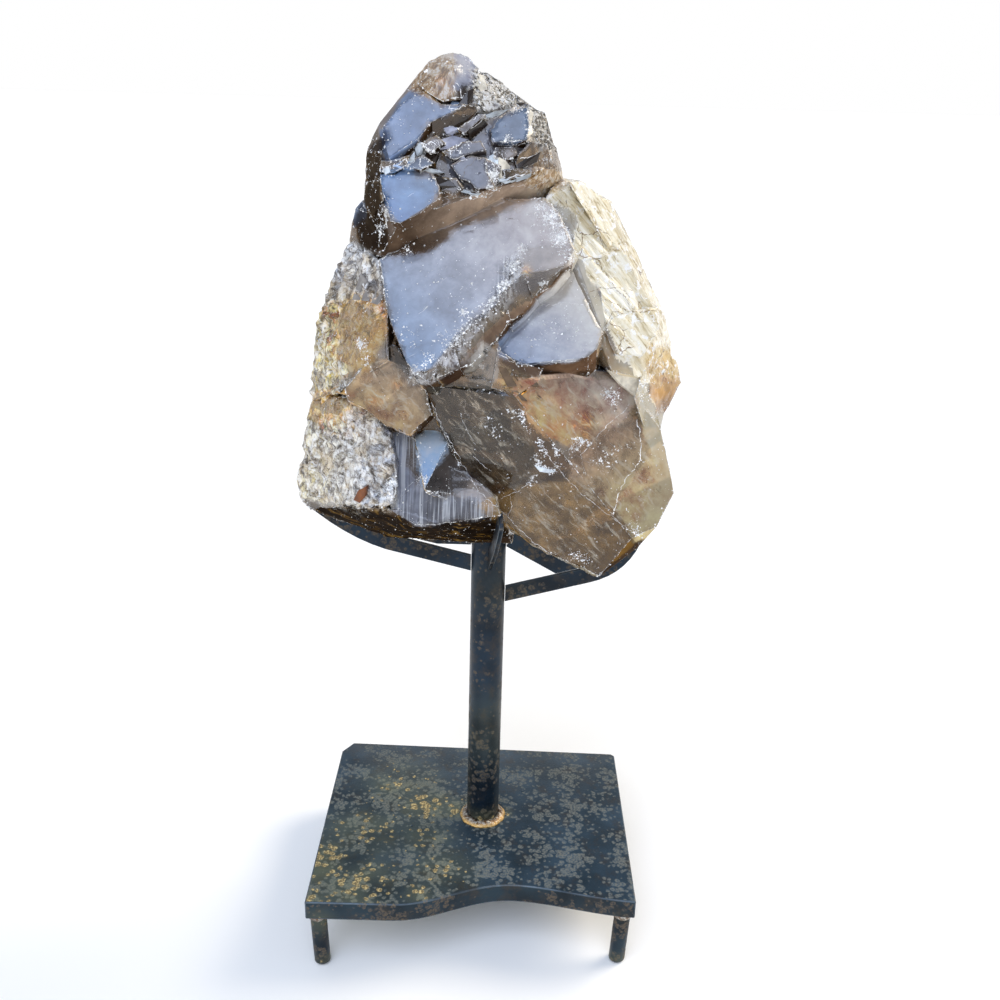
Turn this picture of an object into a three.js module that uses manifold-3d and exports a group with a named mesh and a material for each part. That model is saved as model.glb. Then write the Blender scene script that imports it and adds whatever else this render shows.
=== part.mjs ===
// A smoky quartz cluster in a welded steel cradle stand.
// Millimetres, +Z up, +X to the right, -Y towards the viewer.
// Heights in the drawing are measured from the top face of the base plate. At the end the whole
// assembly is moved so that its origin is the middle of its footprint, on the ground.

import * as THREE from 'three';
import { ConvexGeometry } from 'three/addons/geometries/ConvexGeometry.js';
import { mergeVertices } from 'three/addons/utils/BufferGeometryUtils.js';
import Module from 'manifold-3d';

const wasm = await Module();
wasm.setup();

// ---------------------------------------------------------------- driving dimensions

const GAP = 0.3;                  // clearance between pieces that touch

const PLATE_THICKNESS = 16;
const PLATE_LEFT = -133;          // the near-left corner, and so on round the plate
const PLATE_RIGHT = 121;
const PLATE_NEAR_LEFT = -112;
const PLATE_NEAR_RIGHT = -102;
const PLATE_FAR_LEFT = 101;
const PLATE_FAR_RIGHT = 94;
const PLATE_CLIP = [9, 14];       // the far-left corner is clipped by this much across and along
const PLATE_NICK = 3;             // the far-right corner has a small one
const HOLLOW_START = -66;         // the wavy front edge leaves the straight here
const HOLLOW_DEEPEST = [25, -87]; // and comes furthest into the plate here

const LEG_DIAMETER = 12.7;
const LEG_LENGTH = 48.6;
const LEG_INSET = 8.5;
const LEG_LEAN_DEG = 2.5;         // the feet lean in under the plate
const LEG_CHAMFER = 2;

const POST_DIAMETER = 26.7;
const POST_BORE = 20.9;
const POST_HEIGHT = 260.5;
const FOOT_WELD_WIDTH = 5;
const FOOT_WELD_HEIGHT = 5.5;

const BAR_HEIGHT = 12.7;          // the cradle is flat bar, standing on edge
const BAR_THICKNESS = 3.2;
const FRONT_ARM_TURN_DEG = 6;     // the front arm is turned a little towards +X

// ---------------------------------------------------------------- colours

const BLACKENED_STEEL = { color: 0x2b3238, roughness: 0.55, metalness: 0.8 };
const WELD_METAL = { color: 0x6a5a42, roughness: 0.6, metalness: 0.6 };
const SMOKY_QUARTZ = { color: 0x84766c, roughness: 0.12, metalness: 0 };

// ---------------------------------------------------------------- solids and meshes

const radians = THREE.MathUtils.degToRad;

function toSolid(geometry) {
  const bare = geometry.clone();
  bare.deleteAttribute('normal');
  bare.deleteAttribute('uv');
  const merged = mergeVertices(bare, 1e-4);
  const vertProperties = new Float32Array(merged.attributes.position.array);
  const triVerts = new Uint32Array(merged.index.array);
  return new wasm.Manifold(new wasm.Mesh({ numProp: 3, vertProperties, triVerts }));
}

function toGeometry(solid) {
  const mesh = solid.getMesh();
  const geometry = new THREE.BufferGeometry();
  geometry.setAttribute('position', new THREE.BufferAttribute(mesh.vertProperties, 3));
  geometry.setIndex(new THREE.BufferAttribute(mesh.triVerts, 1));
  geometry.computeVertexNormals();
  return geometry;
}

function part(name, geometry, finish) {
  const mesh = new THREE.Mesh(geometry, new THREE.MeshStandardMaterial(finish));
  mesh.name = name;
  return mesh;
}

// ---------------------------------------------------------------- base plate and legs

// A flat-cut plate. Its front edge comes in and out again in one slow wave.
function basePlate() {
  const [clipAcross, clipAlong] = PLATE_CLIP;
  const [deepX, deepY] = HOLLOW_DEEPEST;
  const outline = new THREE.Shape();
  outline.moveTo(PLATE_LEFT, PLATE_NEAR_LEFT);
  outline.lineTo(HOLLOW_START, PLATE_NEAR_LEFT);
  outline.bezierCurveTo(HOLLOW_START + 32, PLATE_NEAR_LEFT, deepX - 34, deepY, deepX, deepY);
  outline.bezierCurveTo(deepX + 28, deepY, PLATE_RIGHT - 36, PLATE_NEAR_RIGHT + 2,
    PLATE_RIGHT, PLATE_NEAR_RIGHT);
  outline.lineTo(PLATE_RIGHT, PLATE_FAR_RIGHT - PLATE_NICK);
  outline.lineTo(PLATE_RIGHT - PLATE_NICK, PLATE_FAR_RIGHT);
  outline.lineTo(PLATE_LEFT + clipAcross, PLATE_FAR_LEFT);
  outline.lineTo(PLATE_LEFT, PLATE_FAR_LEFT - clipAlong);
  const options = { depth: PLATE_THICKNESS, bevelEnabled: false, curveSegments: 14 };
  const geometry = new THREE.ExtrudeGeometry(outline, options);
  geometry.translate(0, 0, -PLATE_THICKNESS);
  return part('base_plate', geometry, BLACKENED_STEEL);
}

// A round bar, chamfered at the foot and sheared so that it leans while its ends stay level.
function leg(name, x, y) {
  const radius = LEG_DIAMETER / 2;
  const top = -PLATE_THICKNESS - GAP;
  const bottom = -PLATE_THICKNESS - LEG_LENGTH;
  const profile = [
    new THREE.Vector2(0, bottom),
    new THREE.Vector2(radius - LEG_CHAMFER, bottom),
    new THREE.Vector2(radius, bottom + LEG_CHAMFER),
    new THREE.Vector2(radius, top),
    new THREE.Vector2(0, top),
  ];
  const geometry = new THREE.LatheGeometry(profile, 20);
  geometry.rotateX(Math.PI / 2);
  const lean = Math.tan(radians(LEG_LEAN_DEG));
  const shear = new THREE.Matrix4().set(
    1, 0, Math.sign(x) * lean, 0,
    0, 1, 0, 0,
    0, 0, 1, 0,
    0, 0, 0, 1);
  geometry.applyMatrix4(shear);
  const mesh = part(name, geometry, BLACKENED_STEEL);
  mesh.position.set(x + Math.sign(x) * -top * lean, y, 0);
  return mesh;
}

function legs() {
  const left = PLATE_LEFT + LEG_INSET;
  const right = PLATE_RIGHT - LEG_INSET;
  return [
    leg('leg_front_left', left, PLATE_NEAR_LEFT + LEG_INSET),
    leg('leg_front_right', right, PLATE_NEAR_RIGHT + LEG_INSET),
    leg('leg_back_left', left, PLATE_FAR_LEFT - PLATE_CLIP[1]),
    leg('leg_back_right', right, PLATE_FAR_RIGHT - LEG_INSET),
  ];
}

// ---------------------------------------------------------------- post and its foot weld

// A closed profile turned about the vertical axis, given as [radius, height] pairs.
function turned(profile, segments) {
  const closed = [...profile, profile[0]].map(([r, z]) => new THREE.Vector2(r, z));
  const geometry = new THREE.LatheGeometry(closed, segments);
  geometry.rotateX(Math.PI / 2);
  return geometry;
}

function post() {
  const outer = POST_DIAMETER / 2;
  const bore = POST_BORE / 2;
  const profile = [[bore, GAP], [outer, GAP], [outer, POST_HEIGHT], [bore, POST_HEIGHT]];
  return part('post', turned(profile, 36), BLACKENED_STEEL);
}

function footWeld() {
  const inner = POST_DIAMETER / 2 + GAP;
  const width = FOOT_WELD_WIDTH;
  const height = FOOT_WELD_HEIGHT;
  const profile = [
    [inner, GAP],
    [inner + width, GAP],
    [inner + width * 0.85, height * 0.45],
    [inner + width * 0.5, height * 0.8],
    [inner, height],
  ];
  return part('foot_weld', turned(profile, 36), WELD_METAL);
}

// ---------------------------------------------------------------- cradle of flat bars

// The lower edge of an arm, from the post outwards, in [reach, height] pairs: a straight run, and
// then a bend that is one quadratic curve up to the tip.
const ARM_LEFT = {
  foot: [13.65, 230.2],
  bendStart: [69, 243.7],
  bendPull: [107, 251.7],
  tip: [143.5, 285.5],
};
const ARM_RIGHT = {
  foot: [13.65, 204.3],
  bendStart: [79.7, 222.8],
  bendPull: [107, 230.4],
  tip: [117, 257.5],
};
const ARM_FRONT = {
  foot: [13.65, 237],
  bendStart: [46, 262],
  bendPull: [70, 281],
  tip: [88, 302],
};
const ARM_BACK = {
  foot: [13.65, 237],
  bendStart: [46, 256],
  bendPull: [76, 272],
  tip: [92, 300],
};

// Points along the lower edge, and the same points moved square to it by the bar's height.
function armOutline({ foot, bendStart, bendPull, tip }, grow) {
  const points = [new THREE.Vector2(...foot)];
  const bend = new THREE.QuadraticBezierCurve(
    new THREE.Vector2(...bendStart), new THREE.Vector2(...bendPull), new THREE.Vector2(...tip));
  points.push(...bend.getPoints(7));
  const edge = (distance) => points.map((point, i) => {
    const before = points[Math.max(i - 1, 0)];
    const after = points[Math.min(i + 1, points.length - 1)];
    const along = after.clone().sub(before).normalize();
    const up = new THREE.Vector2(-along.y, along.x);
    if (i === 0) return new THREE.Vector2(point.x, point.y + distance / up.y);
    return point.clone().addScaledVector(up, distance);
  });
  return [...edge(-grow), ...edge(BAR_HEIGHT + grow).reverse()];
}

// A flat bar cut to an outline in the upright plane that leaves the post at a turn from +X.
function bar(outline, turnDeg, grow = 0) {
  const thickness = BAR_THICKNESS + 2 * grow;
  const options = { depth: thickness, bevelEnabled: false };
  const geometry = new THREE.ExtrudeGeometry(new THREE.Shape(outline), options);
  geometry.translate(0, 0, -thickness / 2);
  geometry.rotateX(Math.PI / 2);
  geometry.rotateZ(radians(turnDeg));
  return geometry;
}

const outlineOf = (pairs) => pairs.map(([x, z]) => new THREE.Vector2(x, z));

// The left brace is level and wedges in between the post and the top edge of the left arm; the
// right brace slopes down from the post's top to the right arm.
const BRACE_LEFT = [[13.65, 252.3], [40, 252.3], [74, 260], [74, 261], [13.65, 261]];
const BRACE_RIGHT = [[13.65, 251.5], [52.5, 229.6], [69.5, 234.4], [13.65, 265.5]];

const CRADLE = [
  ['arm_left', (grow) => bar(armOutline(ARM_LEFT, grow), 180, grow)],
  ['arm_right', (grow) => bar(armOutline(ARM_RIGHT, grow), 0, grow)],
  ['arm_front', (grow) => bar(armOutline(ARM_FRONT, grow), -90 + FRONT_ARM_TURN_DEG, grow)],
  ['arm_back', (grow) => bar(armOutline(ARM_BACK, grow), 90, grow)],
  ['brace_left', (grow) => bar(outlineOf(BRACE_LEFT), 180, grow)],
  ['brace_right', (grow) => bar(outlineOf(BRACE_RIGHT), 0, grow)],
];

const cradle = () => CRADLE.map(([name, make]) => part(name, make(0), BLACKENED_STEEL));

// ---------------------------------------------------------------- the rock: how it is drawn

// Each crystal in the cluster is one block. A side of the rock is drawn from one spot, the station,
// on an upright sheet through the post's axis: outlines are [across, height] on the sheet. A line
// of sight through a sheet point is followed to the plane of the crystal face, so an outline is
// true from the station, and the face's plane gives it its depth. The other sides are drawn in the
// same way after the rock is turned about the post.
const STATION = new THREE.Vector3(8, -768, 589);

// The point at depth y on the line of sight through a sheet point.
function sight(x, z, y) {
  const reach = (y - STATION.y) / -STATION.y;
  return new THREE.Vector3(
    STATION.x + (x - STATION.x) * reach, y, STATION.z + (z - STATION.z) * reach);
}

// A face's plane: it leans back by tilt degrees from upright and is turned towards +X by turn
// degrees, and it passes through the sight point at = [x, z, depth].
function facePlane({ tilt, turn, at }) {
  const lean = radians(tilt);
  const swing = radians(turn);
  const normal = new THREE.Vector3(
    Math.cos(lean) * Math.sin(swing), -Math.cos(lean) * Math.cos(swing), Math.sin(lean));
  return new THREE.Plane().setFromNormalAndCoplanarPoint(normal, sight(...at));
}

// Where the line of sight through a sheet point meets a face's plane.
function onPlane([x, z], plane) {
  const along = sight(x, z, 0).sub(STATION);
  const distance = -plane.distanceToPoint(STATION) / plane.normal.dot(along);
  return STATION.clone().addScaledVector(along, distance);
}

const onFace = (face, outline) => outline.map((point) => onPlane(point, facePlane(face)));

// A block whose front is one flat face. Its root is the same outline, deeper in the rock, made
// larger or smaller by flare and moved on the sheet by sink, which shows as a riser on one side.
function slab({ face, outline, depth = 22, sink = [0, 0], flare = 1 }) {
  const flat = outline.map(([x, z]) => new THREE.Vector2(x, z));
  if (THREE.ShapeUtils.isClockWise(flat)) flat.reverse();
  const middle = flat.reduce((sum, point) => sum.add(point), new THREE.Vector2());
  middle.divideScalar(flat.length);
  const root = flat.map((point) => point.clone().sub(middle).multiplyScalar(flare).add(middle)
    .add(new THREE.Vector2(...sink)));
  const [x, z, y] = face.at;
  const rootFace = { ...face, at: [x + sink[0], z + sink[1], y + depth] };
  const front = onFace(face, flat.map((point) => point.toArray()));
  const back = onFace(rootFace, root.map((point) => point.toArray()));
  const count = flat.length;
  const caps = THREE.ShapeUtils.triangulateShape(flat, []);
  const triangles = [];
  for (const [a, b, c] of caps) triangles.push(a, b, c, count + c, count + b, count + a);
  for (let i = 0; i < count; i += 1) {
    const next = (i + 1) % count;
    triangles.push(i, count + i, next, next, count + i, count + next);
  }
  const geometry = new THREE.BufferGeometry().setFromPoints([...front, ...back]);
  geometry.setIndex(triangles);
  return toSolid(geometry);
}

// The smallest convex block round its corners.
const hull = (corners) => toSolid(new ConvexGeometry(corners));

// Corners from [across, height, depth] on sight lines, and from plain [x, y, z] places.
const seen = (corners) => corners.map((corner) => sight(...corner));
const placed = (corners) => corners.map((corner) => new THREE.Vector3(...corner));

// ---------------------------------------------------------------- the rock: its front

// The bright faces all lie the same way, as the faces of crystals that grew together do.
const BRIGHT = { tilt: 38, turn: -5 };

const peakBody = () => hull([
  ...seen([
    [-32, 603, 12], [-47, 597, 4], [-58, 584, 2], [-69, 571, 0], [-81, 557, -2], [-89, 541, -4],
    [-90, 521, -8],
    [-92, 505, -10], [-85, 473, -12], [4, 583, 14], [31, 566, 12], [36, 550, 8], [45, 530, 4],
    [-80, 503, -44], [-67, 494, -54], [-53, 499, -52], [-29, 512, -44], [0, 519, -38],
    [25, 529, -30], [38, 535, -16], [-50, 560, -12], [0, 560, -4],
    [-81, 470, -40], [-67, 472, -42], [-53, 475, -38], [-35, 484, -30], [-14, 496, -20],
    [16, 508, -10], [43, 525, -3],
  ]),
  ...placed([[-60, 58, 515], [18, 62, 525], [-30, 38, 596], [-70, 45, 470], [35, 50, 470]]),
]);

// Terraces on the peak: [outline, [x, z, depth], changes]. Bright ones lie as BRIGHT does; steep
// ones, between them, face the viewer or the ground.
const PEAK_TERRACES = [
  [[[-49, 579], [-38, 571], [-23, 572], [-31, 567], [-45, 560], [-54, 549], [-74, 536], [-76, 544],
    [-78, 555], [-68, 567], [-57, 578]], [-60, 555, -29], { sink: [5, -9] }],
  [[[-80, 525], [-70, 526], [-60, 531], [-44, 527], [-40, 519], [-39, 511], [-53, 500], [-67, 493],
    [-74, 494], [-75, 505], [-78, 510]], [-60, 512, -54], { sink: [4, -5] }],
  [[[-7, 556], [5, 567], [19, 571], [21, 560], [19, 550], [-4, 548]], [8, 560, -21],
    { sink: [-1, -8] }],
  [[[-28, 556], [-15, 565], [-9, 566], [-16, 559], [-23, 553]], [-18, 559, -24], { sink: [4, -9] }],
  [[[-32, 533], [-19, 539], [-8, 538], [-8, 530], [-1, 519], [-14, 517], [-19, 522], [-25, 523]],
    [-15, 528, -43], { sink: [1, -3], tilt: 34 }],
  [[[-1, 519], [3, 533], [-8, 538], [-8, 530]], [-2, 528, -42], { sink: [1, -3], tilt: 34, turn: 22 }],
  [[[-52, 546], [-42, 552], [-36, 547], [-46, 540]], [-44, 546, -35], { sink: [3, -6] }],
  [[[-38, 541], [-24, 548], [-12, 549], [-8, 543], [-20, 540], [-30, 536]], [-22, 543, -35],
    { sink: [1, -5], tilt: 32 }],
  [[[-62, 535], [-50, 538], [-42, 534], [-52, 529], [-64, 530]], [-54, 532, -45],
    { sink: [0, -6], tilt: 52 }],
  [[[-2, 545], [10, 546], [14, 541], [6, 536], [-3, 538]], [5, 541, -31],
    { sink: [0, -6], tilt: 30, turn: 10 }],
  [[[-1, 530], [16, 532], [25, 530], [10, 524], [0, 521]], [10, 527, -38],
    { sink: [0, -3], tilt: 12 }],
  [[[-38, 525], [-28, 524], [-22, 518], [-30, 512], [-38, 516]], [-30, 519, -48],
    { sink: [0, -4], tilt: 30 }],
  [[[-45, 560], [-31, 567], [-23, 572], [-12, 570], [-20, 560], [-34, 550], [-44, 548]],
    [-30, 560, -22], { sink: [2, -4], tilt: -6, turn: 20 }],
  [[[-24, 571], [-12, 569], [-6, 575], [-15, 582], [-24, 578]], [-16, 575, -12],
    { sink: [0, 0], tilt: 22, turn: 14 }],
  [[[14, 541], [21, 549], [32, 548], [40, 532], [24, 530], [12, 534]], [24, 540, -26],
    { sink: [0, -2], tilt: 4, turn: 30 }],
  [[[-74, 534], [-60, 538], [-62, 531], [-72, 526], [-80, 527], [-79, 534]], [-70, 531, -44],
    { sink: [0, 0], tilt: 14, turn: -20 }],
];

const peakTerraces = () => PEAK_TERRACES.map(([outline, at, changes]) => {
  const { sink, ...swung } = changes;
  return slab({ face: { ...BRIGHT, ...swung, at }, outline, depth: 16, sink });
});

// The rounded tip of the peak, its rough right shoulder and its dark ribbed left flank.
const peakTip = () => [
  hull([
    ...seen([[-54, 584, -4], [-46, 597, 2], [-38, 602, 6], [-31, 604, 8], [-21, 601, 6],
      [-14, 594, 2], [-13, 584, -6], [-20, 575, -16], [-29, 576, -18], [-38, 573, -20],
      [-49, 579, -14], [-31, 592, -10], [-44, 588, -8]]),
    ...placed([[-45, 30, 590], [-20, 32, 585], [-30, 20, 570]]),
  ]),
  hull(seen([[-15, 592, 2], [-8, 592, 6], [4, 584, 8], [12, 577, 6], [1, 570, -14], [-10, 568, -18],
    [-17, 577, -12], [-2, 585, 30], [6, 565, 10]])),
  hull(seen([[19, 572, 4], [31, 568, 8], [36, 550, 2], [26, 545, -18], [19, 549, -24],
    [20, 561, -14], [28, 560, 30]])),
];

const peakFlank = () => [
  hull(seen([[-88, 540, -6], [-90, 523, -14], [-84, 514, -26], [-79, 527, -38], [-79, 540, -30],
    [-80, 530, 10]])),
  hull(seen([[-90, 520, -12], [-92, 506, -18], [-86, 496, -34], [-78, 508, -46], [-80, 522, -40],
    [-78, 508, 10]])),
  hull(seen([[-91, 503, -14], [-87, 482, -22], [-82, 471, -36], [-75, 480, -44], [-76, 496, -48],
    [-75, 490, 10]])),
];

// The broad middle face, and the broken rim along its lower right edge.
const MIDDLE = { ...BRIGHT, at: [-57, 383, -105] };
const middleBlock = () => slab({
  face: MIDDLE,
  outline: [[-81, 468], [-76, 430], [-72, 416], [-63, 395], [-58, 387], [-49, 388], [-41, 392],
    [-38, 400], [-19, 420], [1, 437], [6, 449], [12, 459], [35, 463], [50, 468], [55, 478],
    [44, 502], [33, 513], [5, 512], [-30, 498], [-60, 480]],
  depth: 34,
  sink: [5, -8],
});

// The rim runs up to the right in short chipped lengths: [inner edge, outer edge, drop].
const RIM = [
  [[[-58, 388], [-50, 390], [-41, 394]], [[-57, 382], [-51, 384], [-46, 379], [-42, 384]], 4],
  [[[-42, 393], [-38, 401], [-28, 412]], [[-41, 383], [-35, 386], [-24, 391]], 5],
  [[[-29, 410], [-19, 421], [-8, 431]], [[-25, 391], [-16, 394], [-6, 404]], 8],
  [[[-9, 428], [1, 438], [5, 448]], [[-7, 404], [4, 415], [12, 428]], 9],
  [[[4, 446], [12, 460], [22, 463]], [[10, 424], [19, 432], [29, 444]], 10],
  [[[20, 460], [35, 464], [50, 469]], [[27, 444], [38, 451], [47, 463]], 7],
];
const middleRim = () => RIM.map(([inner, outer, drop]) => {
  const chipped = { ...MIDDLE, at: [MIDDLE.at[0], MIDDLE.at[1], MIDDLE.at[2] + drop] };
  const rooted = { ...MIDDLE, at: [MIDDLE.at[0] + 9, MIDDLE.at[1] - 12, MIDDLE.at[2] + 42] };
  const deeper = [...inner, ...outer].map(([x, z]) => [x + 9, z - 12]);
  return hull([...onFace(MIDDLE, inner), ...onFace(chipped, outer), ...onFace(rooted, deeper)]);
});

// The second bright face, lower and to the right, with its dark riser beneath.
const secondBlock = () => slab({
  face: { ...BRIGHT, at: [18, 430, -58] },
  outline: [[50, 469], [40, 457], [30, 442], [8, 419], [3, 409], [5, 404], [22, 396], [48, 399],
    [69, 402], [75, 409], [78, 421], [65, 443], [55, 462]],
  depth: 30,
  sink: [0, -22],
});

// Small broken steps between the two bright faces and the lower lobe.
const BROKEN_STEPS = [
  [[[-22, 402], [-8, 412], [3, 412], [6, 402], [1, 382], [-16, 376]],
    { tilt: 8, turn: -12, at: [-8, 385, -83] }],
  [[[3, 406], [16, 398], [20, 390], [8, 374], [-1, 377]], { tilt: 2, turn: 14, at: [10, 385, -86] }],
  [[[18, 398], [36, 392], [34, 384], [17, 371], [8, 376]], { tilt: 14, turn: 6, at: [18, 374, -88] }],
  [[[-42, 386], [-18, 390], [-8, 378], [-48, 376]], { tilt: -4, turn: 0, at: [-30, 379, -82] }],
  [[[-47, 379], [-30, 385], [-8, 384], [10, 379], [15, 373], [-8, 376], [-30, 378], [-48, 377]],
    { tilt: 0, turn: -9, at: [-10, 378, -84.5] }],
];
const brokenSteps = () => BROKEN_STEPS.map(([outline, face]) => slab({ face, outline, depth: 30 }));

// The clear lower lobe: two great faces meet in a ridge that runs down to the right.
const RIDGE_TOP = [17, 371, -89];
const LOBE_RIGHT = { tilt: 17, turn: 30, at: RIDGE_TOP };
const LOBE_LEFT = { tilt: -15, turn: -10, at: RIDGE_TOP };
const lowerLobe = () => hull([
  ...onFace(LOBE_RIGHT, [[17, 371], [34, 388], [67, 392], [85, 392], [108, 371], [125, 349],
    [136, 312], [139, 299], [128, 271], [110, 261]]),
  ...onFace(LOBE_LEFT, [[-50, 378], [-42, 355], [-27, 329], [-15, 297], [6, 277], [32, 254],
    [56, 242], [87, 228], [110, 261]]),
  ...seen([[114, 252, -44], [139, 299, 0], [127, 270, 0], [124, 349, 10]]),
  ...placed([[-40, -20, 380], [-10, -10, 290], [30, 0, 262], [76, 0, 236], [96, 5, 252],
    [110, 20, 268], [60, 30, 395], [100, 35, 385], [60, 40, 270], [120, 35, 300]]),
]);

// The lower left lobe: a finely ribbed face, a rough crust to its left, an amber face above it,
// and a small clear crystal in the notch.
const ribbedFace = () => slab({
  face: { tilt: 25, turn: -8, at: [-57, 267, -88] },
  outline: [[-79, 342], [-66, 341], [-59, 338], [-40, 320], [-10, 305], [4, 291], [8, 277],
    [-19, 272], [-38, 268], [-57, 267], [-76, 280], [-74, 303], [-72, 311]],
  depth: 40,
});
const crustLobe = () => hull([
  ...seen([[-133, 364, -8], [-108, 368, -46], [-86, 355, -64], [-77, 343, -68], [-71, 311, -80],
    [-74, 284, -86], [-80, 280, -84], [-107, 281, -66], [-136, 277, -24], [-146, 301, -10],
    [-145, 289, -12], [-138, 325, -10]]),
  ...placed([[-128, 30, 360], [-130, 35, 310], [-60, 20, 290], [-60, 20, 360]]),
]);
const amberFace = () => slab({
  face: { tilt: 5, turn: -15, at: [-60, 365, -78] },
  outline: [[-108, 373], [-93, 392], [-72, 408], [-60, 392], [-49, 374], [-45, 356], [-61, 339],
    [-79, 346], [-94, 359], [-106, 364]],
  depth: 34,
  sink: [4, -3],
});
const notchCrystal = () => hull([
  ...seen([[-57, 339, -62], [-45, 346, -56], [-40, 345, -56], [-32, 335, -66], [-50, 296, -98],
    [-15, 313, -60], [-17, 292, -70], [-30, 288, -80], [-47, 293, -92],
    [-40, 330, -20], [-25, 295, -20]]),
]);
const underside = () => hull([
  ...seen([[-57, 267, -87], [-78, 280, -83], [-107, 281, -62], [-136, 277, -22], [-19, 272, -82],
    [8, 277, -74], [14, 268, -50], [-145, 289, -10]]),
  ...placed([[-130, 0, 290], [-111, 0, 276.5], [-92, 0, 265.5], [-78, -12, 261.5], [-20, -17, 261.2],
    [17, -17, 261.2], [-78, 14, 262], [17, 16, 262], [-20, 24, 266], [-100, 25, 290],
    [30, 20, 285]]),
]);

// The rough crust that climbs the left side, with a small clear crystal at its top.
const leftCrust = () => hull([
  ...seen([[-100, 481, -4], [-105, 474, -6], [-121, 435, -8], [-127, 422, -8], [-125, 413, -6],
    [-133, 364, -10], [-108, 374, -56], [-76, 396, -78], [-76, 430, -64], [-82, 467, -38],
    [-94, 400, -66]]),
  ...placed([[-110, 40, 455], [-122, 45, 380], [-60, 20, 470], [-60, 20, 380]]),
]);
const leftBud = () => hull(seen([[-92, 508, -4], [-97, 502, -6], [-101, 489, -2], [-102, 479, -4],
  [-92, 470, -22], [-80, 470, -34], [-84, 484, -32], [-84, 498, -26], [-92, 485, 30]]));

// The pale right side: long faces that turn away from the front, in two steps.
const paleBody = () => hull([
  ...seen([[33, 513, -16], [43, 527, 2], [56, 525, 10], [79, 512, 16], [92, 489, 18],
    [110, 452, 20], [123, 431, 20], [129, 405, 16], [127, 372, 8],
    [54, 478, -30], [64, 444, -42], [78, 421, -52], [86, 392, -60], [108, 388, -46],
    [52, 520, -8], [68, 498, -14], [86, 466, -22], [102, 440, -30], [116, 412, -28]]),
  ...placed([[40, 50, 515], [75, 50, 490], [100, 55, 440], [112, 55, 390], [50, 40, 400]]),
]);
const paleSteps = () => [
  slab({
    face: { tilt: 20, turn: 26, at: [90, 410, -56] },
    outline: [[79, 422], [84, 431], [100, 437], [116, 440], [118, 424], [108, 404], [88, 404]],
    depth: 40,
  }),
  slab({
    face: { tilt: 26, turn: 52, at: [70, 500, -14] },
    outline: [[48, 524], [56, 524], [78, 511], [88, 488], [84, 470], [66, 498]],
    depth: 40,
  }),
];
const amberKnob = () => hull(seen([[120, 412, 4], [128, 406, 6], [135, 396, 8], [137, 385, 6],
  [131, 369, 2], [124, 356, -4], [118, 366, -22], [114, 386, -28], [115, 400, -22],
  [112, 390, 34]]));

// The shoulder that carries the knob down to the clear lobe.
const shoulder = () => hull(seen([[108, 390, -44], [126, 378, -4], [127, 362, -2], [125, 347, -4],
  [112, 352, -50], [104, 372, -58], [110, 370, 40]]));

// The heart of the rock, which every block is rooted in.
const heart = () => hull(placed([
  [-92, 0, 475], [-116, 5, 425], [-120, 5, 340], [-104, 0, 295], [-60, -30, 290], [0, -35, 290],
  [60, -25, 270], [85, 0, 262], [112, 5, 300], [112, 5, 400], [88, 5, 470], [40, 0, 510],
  [-55, -15, 500], [-55, -62, 410], [30, -50, 390], [-60, -55, 340], [30, -60, 330],
  [-95, 70, 440], [-90, 82, 340], [80, 78, 330], [85, 60, 430], [0, 92, 400], [0, 88, 310],
  [-40, 68, 505], [30, 62, 500], [-60, 60, 290], [60, 60, 280],
]));

// ---------------------------------------------------------------- the rock: back and sides

const BACK = 180;
const RIGHT = 90;
const LEFT = -90;

// Stepped faces: [side, outline, [x, z, depth], tilt, turn, sink, root depth]. Their roots are a
// little wider than the faces, so that the steps have sloping risers.
const ROOT_FLARE = 1.25;
const OTHER_FACES = [
  [BACK, [[6, 586], [33, 597], [54, 578], [62, 552], [30, 542], [-2, 558]], [30, 570, -42], 46, 6,
    [0, -6], 12],
  [BACK, [[-30, 550], [28, 546], [44, 512], [10, 492], [-34, 508]], [5, 520, -66], 42, -6,
    [2, -9], 18],
  [BACK, [[38, 544], [74, 540], [86, 504], [62, 484], [34, 506]], [60, 515, -60], 40, 16,
    [-3, -7], 18],
  [BACK, [[-74, 504], [-20, 500], [0, 452], [-50, 414], [-100, 436]], [-50, 460, -77], 38, -12,
    [2, -10], 24],
  [BACK, [[-8, 496], [62, 488], [98, 442], [84, 392], [14, 394], [-12, 440]], [40, 440, -86], 38, 5,
    [-3, -12], 28],
  [BACK, [[-70, 424], [-18, 440], [10, 410], [-16, 390], [-66, 392]], [-30, 410, -94], 34, -10,
    [0, -5], 28],
  [BACK, [[80, 418], [100, 432], [118, 410], [114, 372], [86, 372]], [104, 400, -62], 30, 30,
    [-3, -6], 26],
  [BACK, [[54, 370], [100, 378], [114, 330], [80, 310], [50, 334]], [82, 345, -82], 22, 34,
    [-2, -5], 28],
  [BACK, [[-108, 366], [-66, 378], [-50, 338], [-84, 312], [-112, 326]], [-84, 345, -86], 18, -32,
    [0, -5], 28],
  [RIGHT, [[-26, 466], [14, 494], [48, 458], [56, 410], [4, 396], [-26, 420]], [10, 440, -96], 31,
    8, [0, -6], 28],
  [RIGHT, [[-12, 344], [44, 350], [64, 328], [50, 290], [-6, 272], [-34, 304]], [10, 330, -114], 8,
    10, [0, -6], 28],
  [RIGHT, [[18, 500], [42, 504], [60, 480], [48, 460], [14, 474]], [40, 490, -68], 38, 20,
    [0, -6], 20],
  [LEFT, [[-50, 466], [4, 470], [30, 440], [14, 398], [-40, 400]], [-16, 436, -93], 27, -6,
    [0, -6], 28],
  [LEFT, [[-56, 376], [2, 374], [30, 340], [10, 294], [-50, 300]], [-16, 342, -114], 11, -10,
    [0, -6], 28],
  [LEFT, [[-50, 532], [-12, 536], [4, 506], [-24, 482], [-54, 496]], [-24, 515, -74], 34, -14,
    [0, -6], 20],
];
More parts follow.
